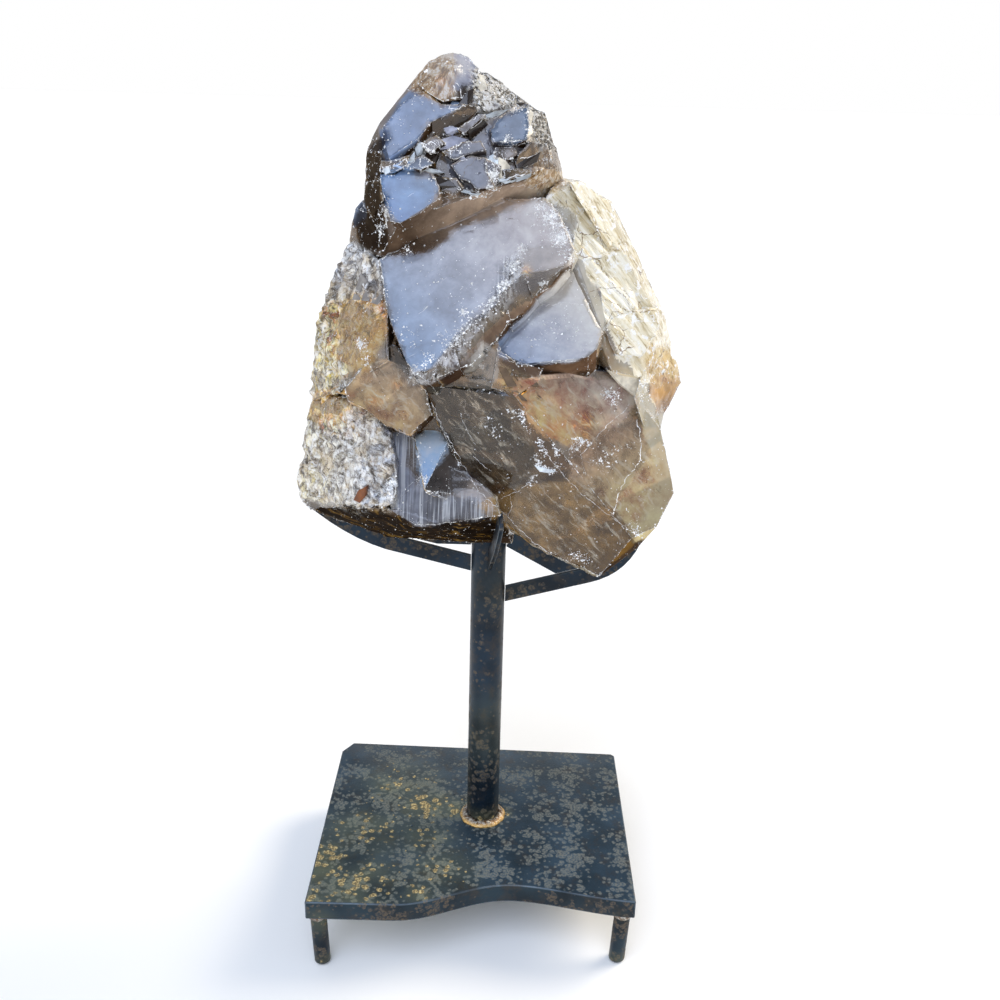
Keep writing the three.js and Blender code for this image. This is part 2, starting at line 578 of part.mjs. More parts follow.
const otherFaces = () => OTHER_FACES.map(([side, outline, at, tilt, turn, sink, depth]) =>
  slab({ face: { tilt, turn, at }, outline, depth, sink, flare: ROOT_FLARE }).rotate([0, 0, side]));

// Low at the back two tall prism faces meet in an upright edge.
const BACK_EDGE = [4, 392, -104];
const backLobe = () => hull([
  ...onFace({ tilt: 7, turn: -24, at: BACK_EDGE },
    [[4, 392], [-60, 400], [-100, 382], [-104, 306], [-62, 280], [-2, 284]]),
  ...onFace({ tilt: 7, turn: 26, at: BACK_EDGE },
    [[4, 392], [58, 396], [102, 372], [108, 308], [60, 282], [-2, 284]]),
  ...placed([[-50, 0, 400], [50, 0, 400], [-50, 0, 300], [50, 0, 300]]),
]).rotate([0, 0, BACK]);

// ---------------------------------------------------------------- the rock: one solid

function crystal() {
  const blocks = [
    heart(), peakBody(), ...peakTerraces(), ...peakTip(), ...peakFlank(), middleBlock(),
    ...middleRim(), secondBlock(), ...brokenSteps(), lowerLobe(), ribbedFace(), crustLobe(),
    amberFace(), notchCrystal(), underside(), leftCrust(), leftBud(), paleBody(), ...paleSteps(),
    amberKnob(), shoulder(), ...otherFaces(), backLobe(),
  ];
  const clearances = CRADLE.map(([, make]) => toSolid(make(GAP)));
  const rock = wasm.Manifold.union(blocks).subtract(wasm.Manifold.union(clearances));
  // Pockets sealed between the blocks are quartz too: only the outer skin is kept.
  const skins = rock.decompose().sort((one, other) => other.volume() - one.volume());
  return part('crystal', toGeometry(skins[0]), SMOKY_QUARTZ);
}

// ---------------------------------------------------------------- assembly

const assembly = new THREE.Group();
assembly.add(basePlate(), ...legs(), post(), footWeld(), ...cradle(), crystal());
assembly.updateMatrixWorld(true);
const box = new THREE.Box3().setFromObject(assembly, true);
const middleOfBox = box.getCenter(new THREE.Vector3());
assembly.position.set(-middleOfBox.x, -middleOfBox.y, -box.min.z);

const group = new THREE.Group();
group.name = 'smoky_quartz_on_stand';
group.add(assembly);

export default group;
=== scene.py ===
# %% [markdown]
# # A smoky quartz cluster on its welded stand
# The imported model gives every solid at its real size. This lesson gives them their looks: the
# quartz gets its rough and clear places, its chips and what is sealed inside it, and the steel gets
# its blackening, rust and weld beads. Nothing is moved. Lengths are in metres, so sizes that are
# easier to think of in millimetres are multiplied by MM.

# %% Load the frame
import math
import random
from functools import partial

import bmesh
import bpy
import numpy as np
from mathutils import Matrix, Vector, noise
from mathutils.bvhtree import BVHTree


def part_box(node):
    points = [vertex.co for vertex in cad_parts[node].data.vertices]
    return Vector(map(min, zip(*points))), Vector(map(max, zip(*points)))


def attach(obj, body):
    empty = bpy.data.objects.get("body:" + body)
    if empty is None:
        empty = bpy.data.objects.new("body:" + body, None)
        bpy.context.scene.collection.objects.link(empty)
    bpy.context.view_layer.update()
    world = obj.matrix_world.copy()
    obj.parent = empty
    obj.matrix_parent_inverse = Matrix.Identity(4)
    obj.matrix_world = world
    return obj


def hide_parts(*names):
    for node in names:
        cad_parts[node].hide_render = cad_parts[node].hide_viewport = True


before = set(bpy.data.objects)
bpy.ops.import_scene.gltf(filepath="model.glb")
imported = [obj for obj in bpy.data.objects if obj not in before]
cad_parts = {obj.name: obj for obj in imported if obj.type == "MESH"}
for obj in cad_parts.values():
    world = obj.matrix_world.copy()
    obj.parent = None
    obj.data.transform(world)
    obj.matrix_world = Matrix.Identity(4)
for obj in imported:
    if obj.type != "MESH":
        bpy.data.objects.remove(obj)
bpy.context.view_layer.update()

MM = 0.001
print("nodes:", sorted(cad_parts))

# %% [markdown]
# ## Where things are
# All places on the stand are told from one point, where the post's axis meets the top of the plate.
# The rock's marks are told on a sheet: an upright sheet of paper through that axis, looked at from
# the station, the spot from which the rock is drawn. A mark at (across, height) on the sheet lies on
# the rock where the line of sight through it lands.

# %% The post's axis and the station
plate_low, plate_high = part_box("base_plate")
post_low, post_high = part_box("post")
AXIS = Vector((post_low.x / 2 + post_high.x / 2, post_low.y / 2 + post_high.y / 2, plate_high.z))
STATION = AXIS + Vector((7.7, -767.9, 588.8)) * MM
print("axis meets the plate at", tuple(round(v, 4) for v in AXIS))


def on_sheet(points):
    """Where points (an n x 3 array) show on the sheet, as [across, height] in mm."""
    station = np.array(STATION)
    reach = (AXIS.y - STATION.y) / (points[:, 1] - station[1])
    shown = station + (points - station) * reach[:, None]
    return (shown[:, [0, 2]] - np.array([AXIS.x, AXIS.z])) / MM


# %% [markdown]
# ## The camera
# It stands at the station with a 39 mm lens, tips down 21.3 degrees and rolls a degree and a half.
# A camera looks along its own -Z, so its matrix has three columns: right, up and back.

# %% Camera
def placed(name, data):
    """A new object in the scene, made from a mesh, a lamp or a camera."""
    made = bpy.data.objects.new(name, data)
    bpy.context.scene.collection.objects.link(made)
    return made


LENS_MM = 39
TIP_DOWN = math.radians(21.3)
ROLL = math.radians(1.55)

ahead = Vector((0, math.cos(TIP_DOWN), -math.sin(TIP_DOWN)))
level_up = Vector((0, math.sin(TIP_DOWN), math.cos(TIP_DOWN)))
level_right = Vector((1, 0, 0))
right = level_right * math.cos(ROLL) + level_up * math.sin(ROLL)
up = level_up * math.cos(ROLL) - level_right * math.sin(ROLL)
camera = placed("camera", bpy.data.cameras.new("camera"))
camera.data.lens = LENS_MM
camera.data.clip_start = 0.01
camera.matrix_world = Matrix.Translation(STATION) @ Matrix((right, up, -ahead)).transposed().to_4x4()
bpy.context.scene.camera = camera
print("camera height above the ground:", round(STATION.z, 3), "m")

# %% [markdown]
# ## Helpers for meshes
# A closed skin between rings of points makes weld beads, spatter, cracks and thin plates. Thousands of
# small splinters go into one mesh, because one object with many pieces is far quicker than many objects.

# %% Mesh helpers
def piece(name, points, faces, finish, smooth=False):
    """A new object from points and faces, with a finish, riding on the root body."""
    mesh = bpy.data.meshes.new(name)
    mesh.from_pydata([tuple(p) for p in points], [], [tuple(f) for f in faces])
    mesh.validate()
    outward = bmesh.new()
    outward.from_mesh(mesh)
    bmesh.ops.recalc_face_normals(outward, faces=outward.faces)
    outward.to_mesh(mesh)
    outward.free()
    mesh.materials.append(finish)
    if smooth:
        mesh.shade_smooth()
    made = placed(name, mesh)
    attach(made, "root")
    return made


def skin_of(rings, closed=False):
    """Points and faces of a skin through rings of points, capped, or closed onto its first ring."""
    count = len(rings[0])
    points = [p for ring in rings for p in ring]
    faces = [] if closed else [tuple(range(count))[::-1], tuple(range(len(points) - count, len(points)))]
    for level in range(len(rings) if closed else len(rings) - 1):
        above = (level + 1) % len(rings)
        for i in range(count):
            after = (i + 1) % count
            faces.append((level * count + i, level * count + after,
                          above * count + after, above * count + i))
    return points, faces


def circle(centre, radius_at, count, height=0.0):
    """A level ring round centre. radius_at gives its radius for each angle."""
    ring = []
    for i in range(count):
        angle = 2 * math.pi * i / count
        radius = radius_at(angle)
        ring.append(Vector(centre) + Vector((radius * math.cos(angle), radius * math.sin(angle), height)))
    return ring


def splinters(places, size_at, spread, flatness, seed):
    """Small closed three-sided splinters at (place, normal) pairs, as one list of points and faces."""
    dice = random.Random(seed)
    points, faces = [], []
    for place, normal in places:
        size = size_at(dice)
        along = normal.orthogonal().normalized()
        across = normal.cross(along)
        turn = dice.uniform(0, 2 * math.pi)
        first = len(points)
        for corner in range(3):
            angle = turn + corner * 2 * math.pi / 3 + dice.uniform(-spread, spread)
            reach = size * dice.uniform(0.6, 1.3)
            flat = along * math.cos(angle) + across * math.sin(angle)
            points.append(place + flat * reach - normal * size * flatness * 0.5)
        points.append(place + normal * size * flatness * dice.uniform(0.6, 1.4)
                      + along * size * dice.uniform(-0.3, 0.3))
        faces += [(first, first + 2, first + 1), (first, first + 1, first + 3),
                  (first + 1, first + 2, first + 3), (first + 2, first, first + 3)]
    return points, faces


sample = skin_of([circle(AXIS, lambda angle: MM, 8, level * MM) for level in range(2)])
print("a drum with 8 sides:", len(sample[0]), "points,", len(sample[1]), "faces")

# %% [markdown]
# ## Helpers for materials
# Colours are picked as sRGB hex values, the way a paint chart gives them, and one function turns
# them to the linear values that Blender's shaders take. Node trees are written with one small
# function that adds a node, sets it and links it. What fills its sockets also fills the shader's own.

# %% Material helpers
def linear(hex_colour):
    """An sRGB hex colour as linear red, green, blue and alpha."""
    parts = [int(hex_colour[i:i + 2], 16) / 255 for i in (1, 3, 5)]
    return tuple(p / 12.92 if p <= 0.04045 else ((p + 0.055) / 1.055) ** 2.4 for p in parts) + (1.0,)


def fill(tree, node, inputs):
    """Sets a node's sockets to values, or links them to other nodes or their outputs."""
    for name, value in inputs.items() if isinstance(inputs, dict) else enumerate(inputs):
        if isinstance(value, bpy.types.Node):
            value = value.outputs[0]
        if isinstance(value, bpy.types.NodeSocket):
            tree.links.new(value, node.inputs[name])
        else:
            node.inputs[name].default_value = value


def add(tree, kind, inputs=(), stops=(), **settings):
    """Adds a node with its settings, and fills its sockets. stops are for a colour ramp."""
    node = tree.nodes.new("ShaderNode" + kind)
    for name, value in settings.items():
        setattr(node, name, value)
    fill(tree, node, inputs)
    for i, (place, colour) in enumerate(stops):
        elements = node.color_ramp.elements
        element = elements[i] if i < 2 else elements.new(place)
        element.position = place
        element.color = linear(colour)
    return node


def pattern_scale(size_mm):
    """The texture scale at which one feature of a pattern is size_mm wide."""
    return 1 / (size_mm * MM)


def new_material(name):
    """A material with nodes: its tree, its shader, its output and object coordinates."""
    material = bpy.data.materials.new(name)
    material.use_nodes = True
    tree = material.node_tree
    shader = tree.nodes["Principled BSDF"]
    output = tree.nodes["Material Output"]
    place = add(tree, "TexCoord").outputs["Object"]
    return material, tree, shader, output, place


print("middle grey #808080 is", round(linear("#808080")[0], 3), "in linear light")

# %% [markdown]
# ## The rock: finding its places
# The rock is clear in some places and crusted, ribbed or frosted in others. Each kind of place is an
# outline on the sheet. A point of the rock belongs to it when it faces the station and shows inside
# the outline. The edges of these outlines are shaken with noise, since nothing on a rock ends in a
# straight line.

# %% Outlines on the sheet
OUTLINES = {
    "crust": [
        [(-150, 293), (-144, 333), (-132, 366), (-112, 366), (-103, 361), (-89, 353), (-75, 341),
         (-73, 327), (-71, 303), (-74, 280), (-99, 276), (-122, 283), (-145, 285)],
        [(-109, 481), (-93, 474), (-82, 466), (-79, 450), (-78, 429), (-87, 416), (-100, 406),
         (-107, 401), (-110, 369), (-123, 363), (-140, 363), (-140, 416), (-130, 438), (-118, 463)]],
    "gold": [[(-106, 440), (-85, 438), (-77, 418), (-84, 396), (-96, 386), (-112, 396), (-114, 421)],
             [(-136, 368), (-118, 372), (-104, 362), (-112, 350), (-132, 352)]],
    "rim": [[(-66, 392), (-44, 384), (-40, 400), (-26, 414), (-12, 430), (2, 447), (8, 466), (17, 476),
             (22, 466), (14, 444), (3, 430), (-11, 416), (-20, 402), (-38, 384), (-49, 376), (-60, 378)]],
    "flank": [[(-71, 559), (-83, 546), (-96, 521), (-98, 477), (-77, 472), (-74, 490), (-78, 508),
               (-79, 523), (-76, 541)]],
    "speckled": [[(-20, 597), (-9, 596), (6, 586), (17, 577), (4, 571), (-7, 575), (-14, 569),
                  (-19, 577)],
                 [(19, 577), (33, 573), (42, 558), (39, 544), (28, 544), (21, 556)]],
    "snowy": [[(-17, 592), (-9, 590), (-3, 580), (0, 570), (-7, 564), (-13, 569), (-16, 580)]],
    "broken": [[(-58, 536), (-45, 548), (-29, 560), (-15, 569), (-3, 563), (-4, 553), (3, 542),
                (7, 524), (-18, 513), (-38, 515), (-45, 528)]],
    "pale": [[(29, 514), (44, 532), (76, 520), (99, 490), (119, 458), (133, 430), (134, 384),
              (113, 383), (100, 394), (85, 411), (72, 451), (54, 481), (55, 502)]],
    "knob": [[(112, 412), (135, 407), (144, 382), (129, 360), (114, 371)]],
    "under": [[(-150, 292), (-136, 277), (-107, 281), (-80, 280), (-57, 267), (-19, 272), (8, 277),
               (18, 262), (-30, 240), (-110, 240), (-150, 270)]],
    "striated": [[(-79, 343), (-57, 340), (-53, 296), (-15, 291), (8, 280), (4, 263), (-46, 263),
                  (-70, 272), (-76, 287)],
                 [(-6, 432), (14, 446), (22, 462), (8, 474), (-2, 450)]],
    "feathered": [[(-58, 580), (-52, 595), (-42, 602), (-31, 598), (-29, 576), (-42, 572), (-51, 575)],
                  [(24, 556), (40, 550), (50, 520), (30, 512), (20, 524)]],
    "steps": [[(-20, 388), (-8, 412), (6, 406), (20, 392), (34, 386), (32, 366), (14, 370), (-2, 376)]],
    "fibrous": [[(-20, 326), (0, 330), (24, 320), (44, 312), (20, 298), (-4, 300)],
                [(-44, 372), (-15, 380), (4, 374), (20, 356), (30, 336), (10, 322), (-20, 326), (-34, 346)],
                [(28, 300), (60, 308), (96, 286), (108, 262), (84, 232), (40, 250), (16, 276)],
                [(60, 335), (112, 352), (130, 322), (128, 296), (112, 270), (84, 288), (62, 312)]],
}
print("kinds of place:", ", ".join(OUTLINES))

# %% [markdown]
# ## The rock: the colours of its named faces
# Each big face has its own colour, from what shows through it and what it mirrors, and it changes
# across the face. Much of it is painted light: blue and lilac faces carry a painted reflection of the
# sky, and the dark risers and gaps carry painted shade over the brown inside. So a face is told by its
# outline, a spot with its colour and a second spot with its colour, and the colour runs from the first
# to the second. Three of these faces are also whole outlines of a kind of place, so they are written
# once and shared.

# %% Tints of the named faces
# Painted light: blue faces hold a painted sky reflection, dark risers and gaps painted shade.
TINTS = {
    "tip_left": ([(-60, 577), (-54, 592), (-40, 607), (-30, 606), (-30, 577), (-42, 572), (-51, 575)],
                 (-44, 576, "#a88a6c"), (-38, 602, "#ece6e0")),
    "tip_right": ([(-30, 607), (-20, 600), (-14, 588), (-18, 577), (-30, 578)],
                  (-26, 580, "#9aa3ba"), (-22, 600, "#c6c7d6")),
    "under_tip": ([(-50, 577), (-37, 571), (-22, 570), (-16, 577), (-22, 584), (-30, 578), (-42, 573)],
                  (-45, 574, "#5b4736"), (-22, 578, "#37302a")),
    "upper_blue": ([(-80, 552), (-60, 579), (-50, 576), (-40, 571), (-24, 571), (-32, 565), (-47, 560),
                    (-52, 551), (-70, 533), (-76, 534)],
                   (-72, 540, "#7e93b8"), (-40, 570, "#8092b2")),
    "right_blue": ([(-9, 556), (2, 563), (16, 572), (21, 566), (20, 552), (10, 546), (-3, 546)],
                   (-2, 548, "#76869f"), (16, 568, "#64758f")),
    "right_end": ([(20, 546), (24, 560), (42, 558), (46, 530), (36, 524)],
                  (24, 552, "#6a6058"), (42, 532, "#d2c2b2")),
    "middle_lilac": ([(-36, 538), (-18, 552), (-6, 554), (0, 545), (-2, 533), (-8, 519), (-20, 517),
                      (-30, 522)],
                     (-30, 524, "#8791a6"), (-6, 545, "#a0a3b4")),
    "lower_blue": ([(-80, 528), (-60, 532), (-54, 523), (-42, 524), (-43, 511), (-52, 503), (-66, 493),
                    (-73, 498), (-79, 511)],
                   (-70, 500, "#7394c6"), (-50, 522, "#7c96ba")),
    "great_riser": ([(-76, 494), (-66, 494), (-50, 504), (-40, 514), (-10, 516), (20, 524), (46, 532),
                     (46, 518), (25, 512), (0, 500), (-20, 492), (-40, 477), (-60, 471), (-80, 470)],
                    (-60, 484, "#5a493b"), (40, 524, "#d2bba6")),
    "left_knee": ([(-101, 492), (-92, 496), (-82, 484), (-80, 466), (-92, 468), (-100, 474)],
                  (-98, 480, "#76624d"), (-86, 474, "#4a3a2d")),
    "left_knee_top": ([(-99, 506), (-90, 507), (-89, 496), (-98, 491)],
                      (-98, 495, "#8fa1be"), (-92, 504, "#99a8c0")),
    "great_face": ([(-81, 469), (-60, 472), (-44, 474), (-25, 491), (0, 499), (24, 512), (38, 510),
                    (56, 478), (50, 466), (20, 480), (4, 462), (0, 448), (-28, 414), (-44, 392),
                    (-58, 386), (-72, 420)],
                   (-60, 404, "#7690b4"), (30, 500, "#cbc4c2")),
    "great_face_end": ([(17, 478), (50, 484), (58, 470), (42, 462), (30, 450), (14, 442), (10, 460)],
                       (16, 450, "#85807f"), (48, 474, "#b8afa9")),
    "second_face": ([(62, 474), (30, 442), (4, 412), (3, 402), (20, 395), (60, 399), (76, 409),
                     (82, 430), (70, 456)],
                    (14, 400, "#8498ba"), (58, 446, "#d6d2cc")),
    "second_riser": ([(3, 401), (20, 394), (60, 398), (77, 408), (74, 394), (52, 386), (32, 384),
                      (12, 391)],
                     (12, 396, "#4b392c"), (70, 398, "#6f5643")),
    "middle_riser": ([(-44, 382), (-36, 386), (-20, 401), (4, 429), (32, 447), (50, 462), (54, 466),
                      (40, 452), (4, 418), (-8, 402), (-30, 378)],
                     (-34, 382, "#38281f"), (40, 452, "#846a54")),
    "grey_steps": ([(-22, 388), (-8, 412), (4, 404), (4, 384), (-4, 376), (-14, 380)],
                   (-14, 388, "#8a8680"), (0, 402, "#aca9a6")),
    "needle_steps": ([(4, 396), (14, 390), (34, 385), (34, 366), (20, 366), (8, 374)],
                     (8, 388, "#8f7e5e"), (28, 372, "#6e5c46")),
    "left_pyramid": ([(-104, 452), (-90, 466), (-82, 452), (-84, 440), (-92, 434)],
                     (-100, 446, "#8d8478"), (-88, 456, "#a39b90")),
    "left_gap": ([(-88, 470), (-82, 468), (-75, 426), (-60, 391), (-50, 376), (-62, 385), (-78, 398),
                  (-84, 430)],
                 (-84, 460, "#5d5044"), (-62, 390, "#3c3530")),
    "amber_face": ([(-108, 362), (-104, 380), (-92, 392), (-77, 397), (-62, 385), (-50, 375),
                    (-50, 352), (-60, 338), (-76, 346), (-94, 356)],
                   (-86, 350, "#cba877"), (-66, 384, "#b9a48c")),
    "kite": ([(-57, 334), (-50, 342), (-40, 345), (-31, 330), (-51, 296)],
             (-50, 304, "#a9cdf8"), (-42, 338, "#d6eaff")),
    "kite_riser": ([(-70, 338), (-57, 340), (-57, 330), (-51, 298), (-58, 304), (-64, 322)],
                   (-64, 332, "#6d625c"), (-56, 306, "#453a34")),
    "black_face": ([(-31, 329), (-42, 313), (-50, 297), (-40, 291), (-18, 296), (-14, 312)],
                   (-44, 300, "#2f2c2e"), (-22, 316, "#57504d")),
    "striated_face": ([(-80, 344), (-62, 338), (-64, 318), (-56, 300), (-40, 291), (-4, 290),
                       (-2, 272), (-58, 265), (-78, 285)],
                      (-70, 330, "#9aa3ba"), (-20, 276, "#6c6d75")),
    "under_pale": ([(77, 426), (84, 412), (100, 396), (113, 386), (114, 370), (98, 382), (82, 394),
                    (75, 404)],
                   (82, 402, "#e2cdb2"), (108, 380, "#f0e6cc")),
    "pale_inner": ([(52, 478), (60, 474), (84, 428), (79, 420), (62, 452)],
                   (56, 474, "#d8d3ca"), (80, 426, "#efe8d6")),
    "pale_shoulder": ([(38, 512), (52, 516), (70, 498), (66, 470), (54, 466), (56, 482), (44, 500)],
                      (46, 508, "#d9d2c4"), (60, 474, "#cfcac0")),
    "crust_top": ([(-115, 484), (-92, 476), (-80, 466), (-78, 440), (-92, 436), (-112, 444)],
                  (-90, 444, "#a19d99"), (-98, 474, "#eef0f2")),
    "crust_amber": ([(-124, 436), (-78, 440), (-76, 418), (-90, 400), (-110, 380), (-128, 392)],
                    (-122, 400, "#efe0b2"), (-90, 424, "#c98f3c")),
    "crust_edge": ([(-150, 430), (-122, 440), (-124, 400), (-112, 372), (-128, 340), (-150, 330)],
                   (-140, 350, "#f4ebcf"), (-130, 420, "#f6eccb")),
    "crust_swirl": ([(-132, 366), (-104, 362), (-80, 344), (-92, 332), (-116, 338), (-130, 346)],
                    (-126, 352, "#f2cf9b"), (-92, 346, "#d6d3d1")),
    "crust_low": ([(-150, 340), (-116, 338), (-92, 332), (-74, 340), (-70, 280), (-122, 280),
                   (-152, 290)],
                  (-140, 310, "#fbf3dd"), (-86, 312, "#dbe1ea")),
    "lobe_left": ([(-48, 376), (-15, 382), (4, 376), (20, 358), (32, 336), (44, 312), (20, 300),
                   (-6, 302), (-28, 322), (-40, 348)],
                  (-24, 362, "#403d37"), (24, 318, "#60503c")),
    "lobe_cheek": ([(2, 384), (30, 386), (60, 388), (100, 384), (106, 368), (92, 350), (60, 334),
                    (40, 340), (26, 354), (16, 372)],
                   (46, 346, "#e0b27c"), (76, 380, "#c9b5ac")),
    "lobe_right": ([(58, 336), (92, 350), (112, 360), (130, 322), (130, 296), (112, 268), (84, 286),
                    (60, 310)],
                   (76, 330, "#ab8f76"), (112, 292, "#d3bf92")),
    "lobe_low": ([(-10, 286), (20, 300), (60, 308), (98, 284), (112, 256), (84, 228), (40, 246),
                  (6, 268)],
                 (30, 290, "#a8885a"), (84, 240, "#7c5d2e")),
    "lobe_edge": ([(106, 380), (124, 372), (136, 340), (142, 300), (130, 262), (112, 258), (108, 268),
                   (122, 292), (124, 322), (110, 352)],
                  (118, 360, "#e6dbbf"), (120, 268, "#c9b78d")),
}
for kind, names in [("striated", ["left_pyramid"]), ("fibrous", ["lobe_cheek", "amber_face"])]:
    OUTLINES[kind] += [TINTS[name][0] for name in names]
PALE_STAINS = ("#fffdf4", "#f0e8d2")
# The dark risers get a darker, less clear finish: thick smoke with painted shade.
DENSE_AND_SHADED_FACES = ["great_riser", "under_tip", "black_face", "second_riser", "middle_riser", "kite_riser"]
print("tinted faces:", len(TINTS), "of which dense:", len(DENSE_AND_SHADED_FACES))

# %% [markdown]
# ## The rock: frosted patches and painted glints
# Where a face was knocked it is frosted white with crushed quartz. Where a crack lies just under the
# skin it sends light back gold, and that glint is painted into the colour as gold patches. Both are
# round patches that fade outwards, told as [across, height, radius, strength].

# %% Frost and painted glints
FROST = [
    [38, 500, 8, 1.0], [46, 486, 8, 0.9], [52, 472, 6, 0.7], [30, 506, 7, 0.6], [20, 478, 5, 0.8],
    [12, 466, 6, 0.9], [6, 452, 5, 0.9], [-2, 441, 5, 0.8], [-22, 432, 4, 1.0], [-30, 408, 8, 0.6],
    [-36, 416, 5, 0.6], [34, 453, 4, 0.9], [28, 438, 12, 0.25], [56, 430, 14, 0.25],
    [-76, 500, 6, 0.8], [-79, 489, 5, 0.7], [-66, 560, 8, 0.35], [-46, 400, 4, 0.8],
    [5, 575, 5, 0.6], [12, 571, 5, 0.7], [-12, 586, 6, 0.8], [-14, 574, 5, 0.7],
    [-3, 527, 5, 1.0], [-4, 519, 4, 0.9], [2, 535, 4, 0.6], [-52, 541, 6, 0.9], [-44, 538, 5, 0.7],
    [6, 551, 3, 1.0], [33, 538, 5, 0.6], [-62, 532, 4, 0.5],
    [84, 375, 5, 0.9], [62, 332, 5, 0.9], [50, 318, 5, 0.8], [100, 335, 7, 0.4], [78, 322, 9, 0.35],
    [34, 324, 4, 0.9], [28, 345, 3, 0.9], [24, 358, 3, 0.7], [110, 272, 6, 0.6], [66, 244, 6, 0.6],
    [12, 285, 5, 0.4], [-8, 393, 3, 0.8], [110, 384, 4, 0.6], [-74, 300, 4, 0.9], [-76, 288, 3, 0.8],
    [-95, 407, 5, 1.0], [-92, 397, 4, 0.8],
]

# Painted glints: gold patches in the colour where a crack under the skin sends light back.
PAINTED_GLINTS = [[52, 353, 4, 0.9], [61, 349, 3, 0.8], [70, 353, 6, 1.0], [69, 343, 4, 0.9], [36, 362, 5, 0.5],
         [46, 346, 6, 0.5], [-86, 366, 7, 0.6], [-70, 378, 6, 0.5], [-64, 356, 6, 0.4], [22, 463, 3, 1.0],
         [-99, 427, 5, 0.8], [-95, 407, 6, 0.8], [-88, 423, 5, 0.6]]
print("frosted patches:", len(FROST), "glowing patches:", len(PAINTED_GLINTS))

# %% [markdown]
# ## The rock: a finer mesh
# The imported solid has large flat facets. Roughness has to be real shape, so the mesh is made finer,
# most of all where the rock is rough, and least at the back. A long edge is cut in the middle and the
# faces beside it are cut again into triangles, over and over. Splitting keeps flat faces exactly
# flat, which a subdivision surface would not.

# %% Copy and refine the rock
CRUST_MM = 2.1
ROUGH_MM = 2.8
FRONT_MM = 4.0
BACK_MM = 6.0
FEWEST_CUTS = 60          # refining ends when fewer edges than this are too long
MOST_ROUNDS = 8
SAME_SPOT = 2e-6          # metres: points this close are one point
FRONT_DEPTH_MM = 45       # how far behind the axis the marks on the sheet still count
SHARP = math.radians(24)


def inside(outline, marks):
    """Which marks (an n x 2 array) lie inside an outline, by counting the sides crossed."""
    crossed = np.zeros(len(marks), bool)
    for (x0, z0), (x1, z1) in zip(outline, outline[1:] + outline[:1]):
        spans = (marks[:, 1] < z0) != (marks[:, 1] < z1)
        at = x0 + (marks[:, 1] - z0) * (x1 - x0) / ((z1 - z0) or 1e-9)
        crossed ^= spans & (marks[:, 0] < at)
    return crossed


def shaken(marks, points, by_mm, size_mm):
    """The marks moved about by noise that depends on their place in space."""
    scale = pattern_scale(size_mm)
    moves = [noise.noise_vector(Vector(p) * scale)[:2] for p in points]
    return marks + np.array(moves) * by_mm


def in_front(points, facing):
    """Which points belong to the side that the sheet shows."""
    return facing & (points[:, 1] < AXIS.y + FRONT_DEPTH_MM * MM)


BACK_CRUST_SIZE_MM = 70


def places_of(points, facing):
    """For each kind of place, whether each point belongs to it."""
    marks = shaken(on_sheet(points), points, 5, 14)
    front = in_front(points, facing)
    found = {}
    for kind, outlines in OUTLINES.items():
        found[kind] = front & np.any([inside(o, marks) for o in outlines], axis=0)
    scale = pattern_scale(BACK_CRUST_SIZE_MM)
    around = np.array([noise.fractal(Vector(p) * scale, 1.0, 2.0, 3) for p in points])
    leftness = (AXIS.x - points[:, 0]) / (140 * MM)
    lowness = (AXIS.z + 400 * MM - points[:, 2]) / (200 * MM)
    behind = ~front & (around + 0.35 * leftness + 0.25 * lowness > 0.27)
    found["crust"] |= behind & (points[:, 2] < AXIS.z + 500 * MM)
    found["gold"] |= behind & (around > 0.42) & (leftness > -0.2)
    found["pale"] |= ~front & (leftness < -0.35) & (around > -0.12) & (lowness < 0.3)
    return found


ROUGH_KINDS = ["crust", "rim", "flank", "speckled", "broken", "pale", "knob", "steps", "feathered"]


def refine(bm):
    """Cuts every edge that is too long for its place, and says how many rounds it took."""
    rounds = 0
    while True:
        bm.normal_update()
        edges = [e for e in bm.edges if e.calc_length() > CRUST_MM * MM]
        middles = np.array([(e.verts[0].co + e.verts[1].co) / 2 for e in edges])
        facing = np.array([(STATION - e.verts[0].co).dot(e.verts[0].normal) > 0 for e in edges])
        found = places_of(middles, facing)
        rough = np.any([found[kind] for kind in ROUGH_KINDS], axis=0)
        front = in_front(middles, facing)
        allowed = np.where(rough & front, ROUGH_MM, np.where(front | rough, FRONT_MM, BACK_MM)) * MM
        allowed[front & (found["crust"] | found["speckled"])] = CRUST_MM * MM
        long = [e for e, limit in zip(edges, allowed) if e.calc_length() > limit]
        if len(long) < FEWEST_CUTS or rounds == MOST_ROUNDS:
            return rounds
        bmesh.ops.subdivide_edges(bm, edges=long, cuts=1)
        bmesh.ops.triangulate(bm, faces=[f for f in bm.faces if len(f.verts) > 3])
        rounds += 1


bm = bmesh.new()
bm.from_mesh(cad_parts["crystal"].data)
bmesh.ops.remove_doubles(bm, verts=bm.verts, dist=SAME_SPOT)
rounds = refine(bm)
print("rock:", len(bm.faces), "triangles after", rounds, "rounds")

# %% [markdown]
# ## The rock: its relief
# Each kind of place has its own relief, pushed out along the surface. Crust is packed with small
# crystals: a Voronoi pattern gives each its own patch, and each patch leans its own way, so that it
# catches the light differently from its neighbours. Pale faces have long ribs. Edges are chipped a
# little everywhere, and the clear faces carry very low growth steps.

